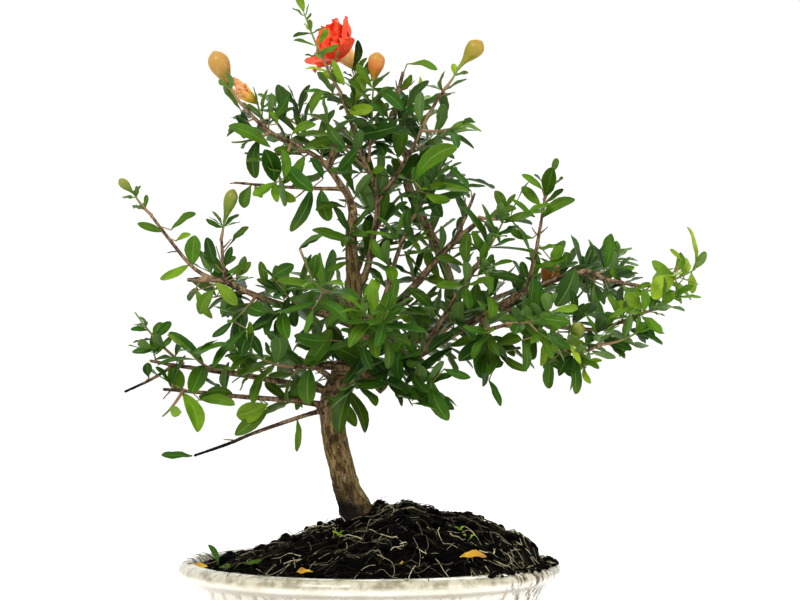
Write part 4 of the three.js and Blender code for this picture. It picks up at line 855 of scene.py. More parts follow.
def marks_of(*parts):
    """The four numbers of every point of a grid, from four parts that may be one number each."""
    return np.stack(np.broadcast_arrays(*parts), axis=-1)


def turns_round(sides):
    return np.arange(sides) * (2 * math.pi / sides)


def on_circle(radius, turn):
    return radius * math.cos(turn), radius * math.sin(turn)


def strip_faces(first, second):
    """Quads between two edges of as many points each."""
    pairs = zip(first[:-1], first[1:], second[1:], second[:-1])
    return [tuple(int(corner) for corner in quad) for quad in pairs]


def ring_faces(count, sides):
    """Faces of a closed body made of that many rings, with a flat cap at each end."""
    index = np.arange(count * sides).reshape(count, sides)
    closed = np.hstack([index, index[:, :1]])
    faces = []
    for row in range(count - 1):
        faces += strip_faces(closed[row], closed[row + 1])
    return [*faces, tuple(index[0, ::-1].tolist()), tuple(index[-1].tolist())]


def add_sheet(skin, upper, lower, marks, under_marks, slot=0):
    """A thin closed sheet: a grid of points, the grid beneath it, and the rim between them."""
    rows, columns = upper.shape[:2]
    top = np.arange(rows * columns).reshape(rows, columns)
    base = top + rows * columns
    faces = []
    for row in range(rows - 1):
        faces += strip_faces(top[row + 1], top[row])
        faces += strip_faces(base[row], base[row + 1])
    faces += strip_faces(top[::-1, 0], base[::-1, 0])
    faces += strip_faces(top[:, -1], base[:, -1])
    faces += strip_faces(top[0], base[0])
    faces += strip_faces(top[-1, ::-1], base[-1, ::-1])
    points = np.concatenate([upper.reshape(-1, 3), lower.reshape(-1, 3)])
    skin.add(points, faces, np.concatenate([marks.reshape(-1, 4), under_marks.reshape(-1, 4)]), slot)


def frames_along(path):
    """Two ways across a path at each of its points, which turn as little as they can."""
    tangents = np.gradient(path, axis=0)
    tangents /= np.linalg.norm(tangents, axis=1)[:, None]
    least = np.eye(3)[np.argmin(abs(tangents[0]))]
    across = unit(np.cross(tangents[0], least))
    first, second = [], []
    for tangent in tangents:
        across = unit(across - tangent * (across @ tangent))
        first.append(across)
        second.append(np.cross(tangent, across))
    return np.array(first), np.array(second)


def add_tube(skin, path, radii, sides, marks, slot=0):
    """A closed tube. radii and marks hold one value for each point of the path, or one for all."""
    path = np.asarray(path, float)
    count = len(path)
    first, second = frames_along(path)
    turns = turns_round(sides)
    ring = first[:, None] * np.cos(turns)[None, :, None] + second[:, None] * np.sin(turns)[None, :, None]
    radii = np.broadcast_to(np.asarray(radii, float).T, (sides, count)).T
    points = path[:, None] + ring * radii[:, :, None]
    marks = np.broadcast_to(np.asarray(marks, float), (count, 4))
    skin.add(points, ring_faces(count, sides), np.repeat(marks, sides, axis=0), slot)


# ---------------------------------------------------------------- colours and materials


def colour(red, green, blue):
    """A colour as screens show it, from 0 to 255, as the light values that nodes take."""
    shares = [value / 255 for value in (red, green, blue)]
    light = [share / 12.92 if share <= 0.04045 else ((share + 0.055) / 1.055) ** 2.4 for share in shares]
    return (*light, 1)


class Shader:
    """A material in the making. Each method adds a node and gives its output."""

    def __init__(self, name, roughness):
        self.material = bpy.data.materials.new(name)
        self.material.use_nodes = True
        self.tree = self.material.node_tree
        self.surface = self.tree.nodes["Principled BSDF"]
        self.surface.inputs["Roughness"].default_value = roughness
        self.place = self.tree.nodes.new("ShaderNodeTexCoord").outputs["Object"]

    def put(self, socket, value):
        if isinstance(value, bpy.types.NodeSocket):
            self.tree.links.new(value, socket)
        else:
            socket.default_value = value

    def node(self, kind, **values):
        made = self.tree.nodes.new(kind)
        for name, value in values.items():
            self.put(made.inputs[name.replace("_", " ")], value)
        return made

    def marks(self):
        """The four numbers of each point: three as a colour's parts, and the alpha."""
        read = self.tree.nodes.new("ShaderNodeAttribute")
        read.attribute_name = "mark"
        parts = self.node("ShaderNodeSeparateColor", Color=read.outputs["Color"])
        return [*parts.outputs, read.outputs["Alpha"]]

    def noise(self, size, detail=4, stretch=(1, 1, 1), roughness=0.55):
        """Uneven values round a half. size is the width of its patches in metres."""
        spread = self.node("ShaderNodeMapping", Vector=self.place, Scale=[1 / part for part in stretch])
        made = self.node("ShaderNodeTexNoise", Vector=spread.outputs[0], Scale=1 / size, Detail=detail)
        made.inputs["Roughness"].default_value = roughness
        return made.outputs["Fac"]

    def cells(self, size, feature="F1"):
        made = self.tree.nodes.new("ShaderNodeTexVoronoi")
        made.feature = feature
        self.put(made.inputs["Vector"], self.place)
        self.put(made.inputs["Scale"], 1 / size)
        return made.outputs["Distance"]

    def math(self, operation, first, second=0.0, third=0.0):
        made = self.tree.nodes.new("ShaderNodeMath")
        made.operation = operation
        for socket, value in zip(made.inputs, (first, second, third)):
            self.put(socket, value)
        return made.outputs[0]

    def times(self, first, second):
        return self.math("MULTIPLY", first, second)

    def fade(self, value, start, end, low=0.0, high=1.0):
        """low where value is start, high where it is end, and smooth between them."""
        made = self.tree.nodes.new("ShaderNodeMapRange")
        made.interpolation_type = "SMOOTHSTEP"
        for name, number in (("From Min", start), ("From Max", end), ("To Min", low), ("To Max", high)):
            made.inputs[name].default_value = number
        self.put(made.inputs["Value"], value)
        return made.outputs["Result"]

    def mix(self, share, first, second, blend="MIX"):
        made = self.tree.nodes.new("ShaderNodeMix")
        made.data_type = "RGBA"
        made.blend_type = blend
        self.put(made.inputs[0], share)
        self.put(made.inputs[6], first)
        self.put(made.inputs[7], second)
        return made.outputs[2]

    def ramp(self, value, *stops):
        made = self.tree.nodes.new("ShaderNodeValToRGB")
        elements = made.color_ramp.elements
        while len(elements) < len(stops):
            elements.new(0.5)
        for element, (position, tint) in zip(elements, stops):
            element.position = position
            element.color = tint
        self.put(made.inputs[0], value)
        return made.outputs[0]

    def finish(self, base, height, depth, **sockets):
        """Joins up the surface: its colour, its relief and how deep that is in metres."""
        self.put(self.surface.inputs["Base Color"], base)
        bump = self.node("ShaderNodeBump", Height=height, Distance=depth)
        self.put(self.surface.inputs["Normal"], bump.outputs[0])
        for name, value in sockets.items():
            self.surface.inputs[name.replace("_", " ")].default_value = value
        return self.material


def leaf_material():
    """Glossy green that grows lighter with a leaf's tone, with a pale midrib and side veins."""
    shader = Shader("leaf", 0.44)
    along, across, under, tone = shader.marks()
    aside = shader.math("ABSOLUTE", shader.math("MULTIPLY_ADD", across, 2.0, -1.0))
    blotch = shader.noise(0.009)
    green = shader.ramp(
        tone, (0.0, colour(16, 48, 4)), (0.35, colour(50, 94, 9)), (0.62, colour(94, 134, 16)),
        (1.0, colour(170, 195, 48)),
    )
    hue = shader.noise(0.045, 2)
    green = shader.mix(shader.fade(hue, 0.45, 0.62, 0.0, 0.45), green, colour(98, 120, 14))
    green = shader.mix(shader.fade(blotch, 0.4, 0.7, 0.0, 0.35), green, colour(24, 64, 8))
    rib = shader.fade(aside, 0.1, 0.02)
    vein_phase = shader.math("MULTIPLY_ADD", aside, -3.4, shader.times(along, 11.0))
    side_vein = shader.fade(shader.math("SINE", shader.times(vein_phase, 6.28)), 0.75, 1.0)
    vein = shader.math("MAXIMUM", shader.times(rib, 0.4), shader.times(side_vein, 0.08))
    green = shader.mix(vein, green, colour(150, 176, 96))
    pale = shader.mix(vein, colour(96, 124, 66), colour(164, 182, 124))
    green = shader.mix(shader.times(under, 0.8), green, pale)
    relief = shader.math("MULTIPLY_ADD", blotch, 0.5, shader.times(vein, -1.0))
    return shader.finish(green, relief, 0.0004, Specular_IOR_Level=0.2)


def stem_material():
    """Young stems: green at the tip, and reddish brown further down."""
    shader = Shader("stem", 0.5)
    age = shader.marks()[0]
    streak = shader.noise(0.002, stretch=(1, 1, 3))
    brown = shader.mix(streak, colour(116, 84, 58), colour(168, 138, 104))
    base = shader.mix(shader.fade(age, 0.15, 0.75), colour(112, 132, 54), brown)
    return shader.finish(base, streak, 0.0003)


def bark_material():
    """Tan bark with dark furrows, darker knots, thin grey-brown twigs, and a damp dark foot."""
    shader = Shader("bark", 0.82)
    age, damp, knot, furrow = shader.marks()
    streak = shader.noise(0.0022, 6, (1, 1, 5))
    patch = shader.noise(0.012)
    fleck = shader.noise(0.0009, 3)
    thin = shader.mix(shader.fade(streak, 0.3, 0.7), colour(92, 72, 54), colour(170, 146, 114))
    thick = shader.mix(shader.fade(streak, 0.3, 0.7), colour(104, 84, 48), colour(160, 138, 94))
    thick = shader.mix(shader.fade(patch, 0.48, 0.66, 0.0, 0.7), thick, colour(96, 82, 50))
    thick = shader.mix(shader.fade(shader.noise(0.006), 0.56, 0.7, 0.0, 0.55), thick, colour(180, 168, 138))
    base = shader.mix(shader.fade(age, 0.1, 0.7), thin, thick)
    base = shader.mix(shader.fade(furrow, 0.5, 0.2, 0.0, 0.75), base, colour(44, 31, 20))
    base = shader.mix(shader.fade(fleck, 0.62, 0.72, 0.0, 0.5), base, colour(66, 48, 34))
    base = shader.mix(shader.times(knot, 0.85), base, colour(46, 30, 20))
    base = shader.mix(damp, base, colour(24, 20, 16))
    relief = shader.math("ADD", streak, shader.times(fleck, 0.6))
    return shader.finish(base, relief, 0.0012, Specular_IOR_Level=0.2)


def petal_material(name, root, rim, fold, vein):
    """Thin petals, lighter to the rim, with fine veins that fan out from the root."""
    shader = Shader(name, 0.55)
    along, across = shader.marks()[:2]
    crease = shader.noise(0.003)
    fan = shader.fade(shader.math("SINE", shader.times(across, 70.0)), 0.2, 1.0)
    base = shader.mix(shader.fade(along, 0.1, 1.0), root, rim)
    base = shader.mix(shader.fade(crease, 0.45, 0.7, 0.0, 0.5), base, fold)
    base = shader.mix(shader.times(fan, 0.16), base, vein)
    relief = shader.math("MULTIPLY_ADD", fan, 0.3, crease)
    return shader.finish(base, relief, 0.0008)


def flesh_material(name, foot, belly, tip):
    """Waxy skin of a bud or a cup, which changes colour from its foot to its tip."""
    shader = Shader(name, 0.36)
    along = shader.marks()[0]
    mottle = shader.noise(0.004, 1)
    fine = shader.noise(0.0007, 3)
    base = shader.ramp(along, (0.0, foot), (0.45, belly), (1.0, tip))
    base = shader.mix(shader.fade(mottle, 0.45, 0.7, 0.0, 0.45), base, tip)
    base = shader.mix(shader.fade(fine, 0.6, 0.75, 0.0, 0.1), base, foot)
    return shader.finish(base, mottle, 0.0004)


def glaze_material():
    """Ivory glaze: streaks that run down, a fine crackle under the lip, and small brown specks. Painted shade
    darkens the lip's top and a band under the lip.
    """
    shader = Shader("ivory_glaze", 0.16)
    x, y, height = shader.node("ShaderNodeSeparateXYZ", Vector=shader.place).outputs
    streak = shader.noise(0.0035, 5, (1, 1, 9))
    cloud = shader.noise(0.03)
    below_lip = shader.fade(height, 0.0515, 0.0475)
    base = shader.mix(shader.fade(cloud, 0.35, 0.7), colour(238, 235, 224), colour(220, 214, 198))
    radius = shader.math("SQRT", shader.math("ADD", shader.times(x, x), shader.times(y, y)))
    drift = shader.math("MULTIPLY_ADD", shader.noise(0.012, 5), 0.005, radius)
    # A darker brown band round the inner edge of the lip's top.
    inner_rim_band = shader.times(shader.fade(drift, 0.1195, 0.1155), shader.fade(height, 0.054, 0.058))
    # The lip's top is painted darker grey: painted shade, in patches that also stand for wear.
    lip_wear_and_shade = shader.fade(shader.noise(0.009, 5), 0.4, 0.65)
    lip = shader.mix(lip_wear_and_shade, colour(192, 187, 166), colour(146, 138, 114))
    base = shader.mix(shader.fade(height, 0.0535, 0.058), base, lip)
    base = shader.mix(shader.times(inner_rim_band, 0.8), base, colour(92, 80, 56))
    soiled = shader.times(shader.fade(x, 0.072, 0.1), shader.fade(y, 0.005, -0.02))
    smear = shader.fade(shader.noise(0.0045, 6, (1, 1, 2.5)), 0.5, 0.6)
    base = shader.mix(shader.times(soiled, smear), base, colour(74, 54, 28))
    runs = shader.times(shader.fade(streak, 0.45, 0.68), below_lip)
    base = shader.mix(shader.times(runs, 0.7), base, colour(140, 128, 104))
    # Painted shade: a darker band under the lip's overhang, where the lip meets the body.
    painted_shade_under_lip = shader.times(shader.fade(height, 0.0475, 0.0505), shader.fade(height, 0.0535, 0.0515))
    base = shader.mix(shader.times(painted_shade_under_lip, 0.5), base, colour(120, 110, 92))
    crackle = shader.fade(shader.cells(0.006, "DISTANCE_TO_EDGE"), 0.035, 0.0)
    base = shader.mix(shader.times(crackle, 0.16), base, colour(140, 120, 92))
    speck = shader.fade(shader.cells(0.011), 0.075, 0.04)
    base = shader.mix(shader.times(speck, 0.7), base, colour(120, 88, 56))
    relief = shader.math("MULTIPLY_ADD", crackle, -0.4, shader.math("ADD", cloud, streak))
    return shader.finish(base, relief, 0.0003, Coat_Weight=0.5, Coat_Roughness=0.08)


def soil_material():
    """Damp black potting soil with brown crumbs."""
    shader = Shader("soil", 0.9)
    crumb = shader.noise(0.0016, 6)
    patch = shader.noise(0.014)
    base = shader.mix(shader.fade(crumb, 0.4, 0.75), colour(1, 1, 1), colour(17, 15, 11))
    base = shader.mix(shader.fade(patch, 0.5, 0.75, 0.0, 0.5), base, colour(8, 9, 8))
    return shader.finish(base, crumb, 0.0016, Specular_IOR_Level=0.05)


def straw_material():
    """Dry roots and fibres, from pale straw to dark olive brown by the piece's own number."""
    shader = Shader("straw", 0.75)
    tone = shader.marks()[0]
    streak = shader.noise(0.0015)
    base = shader.ramp(
        tone, (0.0, colour(9, 9, 6)), (0.5, colour(62, 57, 36)), (1.0, colour(222, 214, 178)),
    )
    base = shader.mix(shader.fade(streak, 0.4, 0.7, 0.0, 0.5), base, colour(44, 36, 24))
    return shader.finish(base, streak, 0.0004, Specular_IOR_Level=0.1)


def dry_leaf_material():
    shader = Shader("dry_leaf", 0.6)
    along = shader.marks()[0]
    blotch = shader.noise(0.003)
    base = shader.mix(along, colour(206, 170, 40), colour(176, 124, 30))
    base = shader.mix(shader.fade(blotch, 0.5, 0.7, 0.0, 0.6), base, colour(110, 74, 34))
    return shader.finish(base, blotch, 0.0005)


def screen_material():
    shader = Shader("drain_screen", 0.6)
    grain = shader.noise(0.0012)
    return shader.finish(shader.mix(grain, colour(30, 32, 30), colour(52, 54, 50)), grain, 0.0002)


def anther_material():
    shader = Shader("anther", 0.6)
    grain = shader.noise(0.0008)
    return shader.finish(shader.mix(grain, colour(240, 190, 60), colour(214, 140, 40)), grain, 0.0002)


LEAF = leaf_material()
STEM = stem_material()
BARK = bark_material()
PETAL = petal_material(
    "petal", colour(236, 58, 26), colour(254, 88, 46), colour(255, 122, 66), colour(206, 34, 20))
YOUNG_PETAL = petal_material(
    "young_petal", colour(255, 206, 146), colour(254, 184, 120), colour(255, 220, 170), colour(246, 166, 100))
STRAW = straw_material()
SOIL = soil_material()
DRY_LEAF = dry_leaf_material()

# ---------------------------------------------------------------- leaves and stems

LEAF_ROWS = 11
LEAF_COLUMNS = 5
LEAF_SHEET = 0.3  # thickness
STALK_HALF_WIDTH = 0.45
TONES = {"dark": 0.17, "mid": 0.39, "light": 0.72}
ROW_PLACES = ((1 - np.cos(np.linspace(0, math.pi, LEAF_ROWS))) / 2)[:, None]
COLUMN_PLACES = np.linspace(-1, 1, LEAF_COLUMNS)[None, :]
# Least and most of what differs from leaf to leaf.
WIDEST_PLACES = (0.54, 0.66)  # over its length
BLUNTNESSES = (0.46, 0.72)
WIDTH_SHARES = (0.8, 1.25)  # over LEAF_WIDTH_RATIO
TWISTS = (-0.5, 0.5)
SICKLES = (-0.12, 0.12)  # how far its middle lies aside, over its length
WAVE_HEIGHTS = (0.2, 0.9)
WAVE_COUNTS = (1.2, 2.2)
TONE_SPREAD = 0.12


def leaf_outline(widest, bluntness):
    """Half width at each row: widest at that share of the length, and blunt or pointed."""
    rise = bluntness * widest / (1 - widest)
    shape = ROW_PLACES**rise * (1 - ROW_PLACES) ** bluntness
    return shape / (widest**rise * (1 - widest) ** bluntness)


def add_leaf(skin, leaf, tone, chance):
    """A blade folded along its midrib, bent, twisted and waved along its edges."""
    length, face, side = leaf["length"], leaf["face"], leaf["side"]
    u, v = ROW_PLACES, COLUMN_PLACES
    outline = leaf_outline(chance.uniform(*WIDEST_PLACES), chance.uniform(*BLUNTNESSES))
    half = length * 0.5 * leaf.get("width", LEAF_WIDTH_RATIO * chance.uniform(*WIDTH_SHARES))
    half = np.maximum(half * outline, STALK_HALF_WIDTH * (1 - u**4))
    twist = chance.uniform(*TWISTS) * u
    sickle = chance.uniform(*SICKLES) * length * u * (1 - u) * 4
    height, count, phase = chance.uniform(*WAVE_HEIGHTS), chance.uniform(*WAVE_COUNTS), chance.random()
    wave = height * np.sin(2 * math.pi * (count * u + phase))
    lift = (leaf["fold"] * half * abs(v) + wave * v * v * np.sin(math.pi * u))[..., None]
    sag = (leaf["droop"] * length * u * u)[..., None]
    turned_side = side * np.cos(twist)[..., None] + face * np.sin(twist)[..., None]
    turned_face = face * np.cos(twist)[..., None] - side * np.sin(twist)[..., None]
    middle = leaf["root"] + leaf["heading"] * (u * length)[..., None] + side * sickle[..., None] - face * sag
    upper = middle + turned_side * (half * v)[..., None] + turned_face * lift
    tone = min(max(tone + chance.gauss(0, TONE_SPREAD), 0), 1)
    marks = marks_of(u, (v + 1) / 2, 0.0, tone)
    add_sheet(skin, upper, upper - turned_face * LEAF_SHEET, marks, marks + [0, 0, 1, 0])


STEM_SIDES = 7
STEM_STEPS = 9
STEM_RADII = (1.15, 0.5)
SIDE_STEM_RADII = (0.7, 0.4)
YOUNG_TONE = 0.2  # how much lighter a shoot's last leaves are
SPUR_TONES = (0.08, 0.42)


def add_shoot(skin, shoot, radii, tone, chance, sunk=0.0):
    """A shoot's stem, from as far as sunk inside what carries it, and all that it bears."""
    twig = shoot["twig"]
    shares = np.linspace(-sunk / twig["length"], 1, STEM_STEPS)
    path = [twig_point(twig, t) for t in shares]
    ages = marks_of(1 - np.clip(shares, 0, 1), 0.0, 0.0, tone)
    add_tube(skin, path, np.interp(shares, (0, 1), radii), STEM_SIDES, ages, slot=1)
    for leaf in shoot["leaves"]:
        reached = (leaf["root"] - twig["start"]) @ twig["reach"] / twig["length"] ** 2
        add_leaf(skin, leaf, tone + YOUNG_TONE * reached**2, chance)
    for fork in shoot["shoots"]:
        add_shoot(skin, fork, SIDE_STEM_RADII, tone, chance, sunk=1)


def add_spray_pieces():
    chance = random.Random(11)
    for name, shoot in sprays.items():
        limb, along, _, _, tone = SPRAYS[name]
        skin = Skin()
        sunk = GAP + 1 + limb_radius(LIMBS[limb], along)
        add_shoot(skin, shoot, STEM_RADII, TONES[tone], chance, sunk)
        add_skin(f"leafy_{name}", skin, [LEAF, STEM], f"leaf_{tone}", f"spray_{name}")


def add_front_leaves():
    chance = random.Random(18)
    skin = Skin()
    for leaf in front_leaves:
        add_leaf(skin, leaf, leaf["tone"], chance)
        if leaf["stalk"]:
            add_tube(skin, np.linspace(*leaf["stalk"], 5), SIDE_STEM_RADII[1], 6, (0.6, 0, 0, 0.5), slot=1)
    add_skin("front_leaves", skin, [LEAF, STEM], "leaf_mid")


def add_spur_pieces():
    chance = random.Random(12)
    for name, shoots in spurs.items():
        skin = Skin()
        for shoot in shoots:
            add_shoot(skin, shoot, SIDE_STEM_RADII, chance.uniform(*SPUR_TONES), chance, sunk=1)
        add_skin(f"spurs_on_{name}", skin, [LEAF, STEM], "leaf_dark")


# ---------------------------------------------------------------- wood

WOOD_SIDES = 16
WOOD_STEP = 2.0  # between rings along a limb
WOOD_VOXEL = 0.8
WOOD_SMOOTHING = 4
UNEVENNESS = 0.09  # of a limb's section, over its radius
KNOT_SIDES = 9
KNOT_SPREAD = 9  # how far a knot's dark reaches, as a square
FLAKE_SIZE = 5
FLAKE_GROWTH = 0.02  # height for each mm of the limb's radius
RIDGE_WIDTH = 1.5
RIDGE_HEIGHT = 0.06
RIDGE_GROWTH = 0.035  # more height for each mm of radius, up to a thick limb's
THICK_LIMB = 9
# Knots on the trunk's front: [x, height, radius].
KNOTS = [(-18.5, 124, 2.6), (-20, 152, 3), (-23, 142, 2.3), (-27, 170, 2.4), (-12, 110, 2)]
STUB_RINGS = [(10, -10, 174), (-19, -4, 332)]
DAMP_FROM, DAMP_TO = 108, 92  # heights between which the trunk turns dark
DAMP_LEAN = 0.6  # how much lower that is for each mm to the right of its foot


def limb_path(points):
    count = max(6, int(limb_length(points) / WOOD_STEP))
    shares = np.linspace(0, 1, count + 1)
    return shares, np.array([limb_point(points, t) for t in shares])


def uneven_ring(place):
    """Radii round one section of a limb, over the limb's own. The place picks the noise."""
    return [1 + UNEVENNESS * noise.noise((*on_circle(3, turn), place)) for turn in turns_round(WOOD_SIDES)]


def wood_blank():
    """Closed tubes for all limbs, with knots, before they are melted into one surface."""
    skin = Skin()
    for index, points in enumerate(LIMBS.values()):
        shares, path = limb_path(points)
        radii = np.array([limb_radius(points, t) for t in shares])
        rings = [uneven_ring(0.12 * WOOD_STEP * row + 9 * index) for row in range(len(shares))]
        add_tube(skin, path, radii[:, None] * np.array(rings), WOOD_SIDES, 0)
    for x, z, radius in KNOTS:
        place = nearest_on_trunk(x, z)
        add_tube(skin, [place, place + vec(0, -radius * 0.6, 0.2)], [radius, radius * 0.7], KNOT_SIDES, 0)
    return mesh_of("wood_blank", skin)


def nearest_on_trunk(x, z):
    """The point of the trunk's front surface that is seen at x, z."""
    points = LIMBS["trunk"]
    shares = np.linspace(0, 1, 200)
    best = min(shares, key=lambda t: abs(limb_point(points, t)[2] - z))
    centre, radius = limb_point(points, best), limb_radius(points, best)
    depth = math.sqrt(max(radius**2 - (x - centre[0]) ** 2, 1))
    return vec(x, centre[1] - depth, z)


def melted(mesh):
    """The same shape as one even skin, with soft joints where limbs meet."""
    blank = link_new("wood_blank", mesh)
    remesh = blank.modifiers.new("remesh", "REMESH")
    remesh.mode = "VOXEL"
    remesh.voxel_size = WOOD_VOXEL * MM
    smooth = blank.modifiers.new("smooth", "SMOOTH")
    smooth.iterations = WOOD_SMOOTHING
    return applied(blank)


def wood_tree():
    """Stations along all limbs, to find the limb that a point of the bark belongs to."""
    stations = []
    for points in LIMBS.values():
        shares, path = limb_path(points)
        offset = 0.0
        for t, place in zip(shares, path):
            stations.append((place, limb_radius(points, t), limb_axis(points, t), offset))
            offset += WOOD_STEP
    tree = kdtree.KDTree(len(stations))
    for index, (place, *_) in enumerate(stations):
        tree.insert(place, index)
    tree.balance()
    return tree, stations


def carve_bark(mesh):
    """Raises ridges along each limb, and marks age, damp, knots and furrows for the material."""
    tree, stations = wood_tree()
    count = len(mesh.vertices)
    places, normals = np.empty(count * 3), np.empty(count * 3)
    mesh.vertices.foreach_get("co", places)
    mesh.vertex_normals.foreach_get("vector", normals)
    places, normals = places.reshape(-1, 3) / MM, normals.reshape(-1, 3)
    knots = [nearest_on_trunk(x, z) for x, z, _ in KNOTS] + [vec(*place) for place in STUB_RINGS]
    marks = np.zeros((count, 4))
    for index, place in enumerate(places):
        centre, radius, axis, offset = stations[tree.find(place)[1]]
        across = place - centre
        across = across - axis * (across @ axis)
        grain = noise.fractal((*(across / RIDGE_WIDTH + axis * (0.12 * offset)),), 0.6, 2.2, 3)
        flake = noise.noise((*(place / FLAKE_SIZE),))
        knot = max(math.exp(-((place - other) @ (place - other)) / KNOT_SPREAD) for other in knots)
        ridge = RIDGE_HEIGHT + RIDGE_GROWTH * min(radius, THICK_LIMB)
        places[index] += normals[index] * (ridge * grain + FLAKE_GROWTH * radius * flake)
        wet = (DAMP_FROM - place[2] - DAMP_LEAN * (place[0] - TRUNK_FOOT[0])) / (DAMP_FROM - DAMP_TO)
        damp = min(max(wet + 0.5 * flake + 0.25 * grain, 0), 1)
        marks[index] = (min(max((radius - 1.2) / 5, 0), 1), damp, knot, 0.5 + grain)
    mesh.vertices.foreach_set("co", (places * MM).ravel())
    attribute = mesh.attributes.get("mark") or mesh.attributes.new("mark", "FLOAT_COLOR", "POINT")
    attribute.data.foreach_set("color", marks.astype(np.float32).ravel())
    mesh.shade_smooth()


def add_wood():
    mesh = melted(wood_blank())
    carve_bark(mesh)
    add_piece("wood", mesh, [BARK], "bark", "trunk_and_branches")


TWIGLET_COUNT = 70
TWIGLET_LENGTHS = (6, 17)
TWIGLET_RADII = (0.6, 0.3)
TWIGLET_STEPS = 6
TWIGLET_SIDES = 6


def any_way(chance, spread, count=3):
    return [chance.gauss(0, spread) for _ in range(count)]


def add_twiglets():
    """Thin bare twigs that stand out of the limbs here and there."""
    chance = random.Random(13)
    skin = Skin()
    names = [name for name in LIMBS if name != "trunk"]
    for _ in range(TWIGLET_COUNT):
        points = LIMBS[chance.choice(names)]
        along = chance.uniform(0.2, 1)
        axis, place = limb_axis(points, along), limb_point(points, along)
        aside = unit(vec(*any_way(chance, 1)))
        heading = unit(unit(aside - axis * (aside @ axis)) + axis * chance.uniform(0.4, 1.4))
        bend = vec(*any_way(chance, 0.2))
        length = chance.uniform(*TWIGLET_LENGTHS)
        path = [place + (heading + bend * t) * (length * t) for t in np.linspace(0, 1, TWIGLET_STEPS)]
        radii = np.linspace(*TWIGLET_RADII, TWIGLET_STEPS)
        add_tube(skin, path, radii, TWIGLET_SIDES, (0.05, 0, 0, chance.uniform(0.3, 0.8)))
    add_skin("bare_twiglets", skin, [BARK], "bark")


# ---------------------------------------------------------------- buds and flowers

BUD_SHAPE = [
    (0, 0.2), (0.12, 0.2), (0.22, 0.26), (0.34, 0.42), (0.46, 0.66), (0.58, 0.88), (0.68, 0.985),
    (0.76, 1), (0.84, 0.93), (0.91, 0.72), (0.96, 0.45), (1, 0.12),
]
BUD_SEGMENTS = 30
SEPALS = 6
SEAM_DEPTH = 0.07
BUD_RINGS = 26
BUD_SUNK = GAP + 0.6  # how deep a bud's foot stands in its twig


def axes_round(heading):
    across = unit(np.cross(heading, vec(0, 1, 0)))
    return across, np.cross(heading, across)


def add_bud(skin, start, reach, radius, neck_cut):
    """A pear-shaped bud whose sepals meet in seams at the tip. A cut neck makes it an egg."""
    shares = np.linspace(0, 1, BUD_RINGS)
    widths = np.interp(lerp(neck_cut, 1, shares), *np.array(BUD_SHAPE).T)
    near_tip = np.clip((shares[:, None] - 0.55) / 0.3, 0, 1)
    between_sepals = np.abs(np.cos(turns_round(BUD_SEGMENTS) * SEPALS / 2))[None, :] ** 12
    seams = 1 - SEAM_DEPTH * near_tip * between_sepals
    path = start + np.outer(shares, reach)
    add_tube(skin, path, radius * widths[:, None] * seams, BUD_SEGMENTS, marks_of(shares, 0.0, 0.0, 1.0))


BUD_COLOURS = {
    "golden": (colour(124, 112, 40), colour(166, 126, 54), colour(182, 144, 72)),
    "orange": (colour(138, 136, 34), colour(190, 108, 42), colour(178, 138, 60)),
    "olive": (colour(104, 136, 32), colour(132, 134, 32), colour(170, 134, 50)),
    "green": (colour(76, 110, 26), colour(104, 124, 32), colour(132, 132, 46)),
}
NECK_CUTS = {"golden": 0.26, "orange": 0.2, "olive": 0, "green": 0.1}


def add_buds():
    finishes = {tone: flesh_material(f"{tone}_bud", *tints) for tone, tints in BUD_COLOURS.items()}
    for name, (_, reach, radius, tone) in BUDS.items():
        skin = Skin()
        sunk = unit(vec(*reach)) * BUD_SUNK
        add_bud(skin, bud_start(name) - sunk, vec(*reach) + sunk, radius, NECK_CUTS[tone])
        own_node = [] if tone == "green" else [name]
        slot = "leaf_light" if tone == "green" else f"bud_{tone}"
        add_skin(f"smooth_{name}", skin, [finishes[tone]], slot, *own_node)


CUP_SHAPE = [
    (0, 0.24), (0.1, 0.28), (0.3, 0.5), (0.5, 0.72), (0.75, 0.92), (1, 1), (1.28, 1.25), (1.5, 1.5),
]
CUP_SEGMENTS = 48
CUP_WALL = 0.9
CUP_FLOOR = 0.42  # share of its length up to which it is solid
CUP_RINGS = 16
CUP_RIM = 0.88  # between two lobes, over the cup's length
LOBE_LENGTH = 0.62


def add_cup(skin, start, heading, length, mouth):
    """A fleshy cup whose wall parts into pointed lobes round the mouth."""
    across, third = axes_round(heading)
    turns = turns_round(CUP_SEGMENTS)
    round_it = across * np.cos(turns)[:, None] + third * np.sin(turns)[:, None]
    lobe = np.abs(((turns * SEPALS / (2 * math.pi)) % 1) - 0.5) * 2
    tops = CUP_RIM + LOBE_LENGTH * (1 - lobe) ** 0.9

    def wall(first, inset):
        shares = np.linspace(first, 1, CUP_RINGS)[:, None] * np.ones(CUP_SEGMENTS)
        shares = first + (shares - first) / (1 - first) * (tops[None, :] - first)
        widths = mouth * np.interp(shares, *np.array(CUP_SHAPE).T) - inset
        return start + heading * (shares * length)[..., None] + round_it[None] * widths[..., None], shares

    outer, outer_shares = wall(0, 0)
    inner, inner_shares = wall(CUP_FLOOR, CUP_WALL)
    points = np.concatenate([outer, inner[::-1]])
    shares = np.concatenate([outer_shares, inner_shares[::-1]])
    marks = marks_of(np.clip(shares / 1.3, 0, 1), 0.0, 0.0, 1.0)
    skin.add(points, ring_faces(len(points), CUP_SEGMENTS), marks.reshape(-1, 4))


PETAL_ROWS = 15
PETAL_COLUMNS = 13
PETAL_SHEET = 0.3
PETAL_VARIETY = (0.85, 1.15)
PETAL_HANG = 0.7
PETAL_FOOT = 1.3  # where the CAD's petals begin, over the cup's length
PETAL_ROOT = 0.7  # where they really begin
PETAL_RING = 0.3  # radius of the ring that petals stand on, over the mouth's
PETAL_BREADTH = 1.25  # over the CAD petal's width
HIDDEN_SHARES = (0.6, 0.3)  # how much of the part in the cup adds to each layer's length
INNER_SIZE = 0.72  # of the inner layer, over the outer one
INNER_STEEPER = 0.45


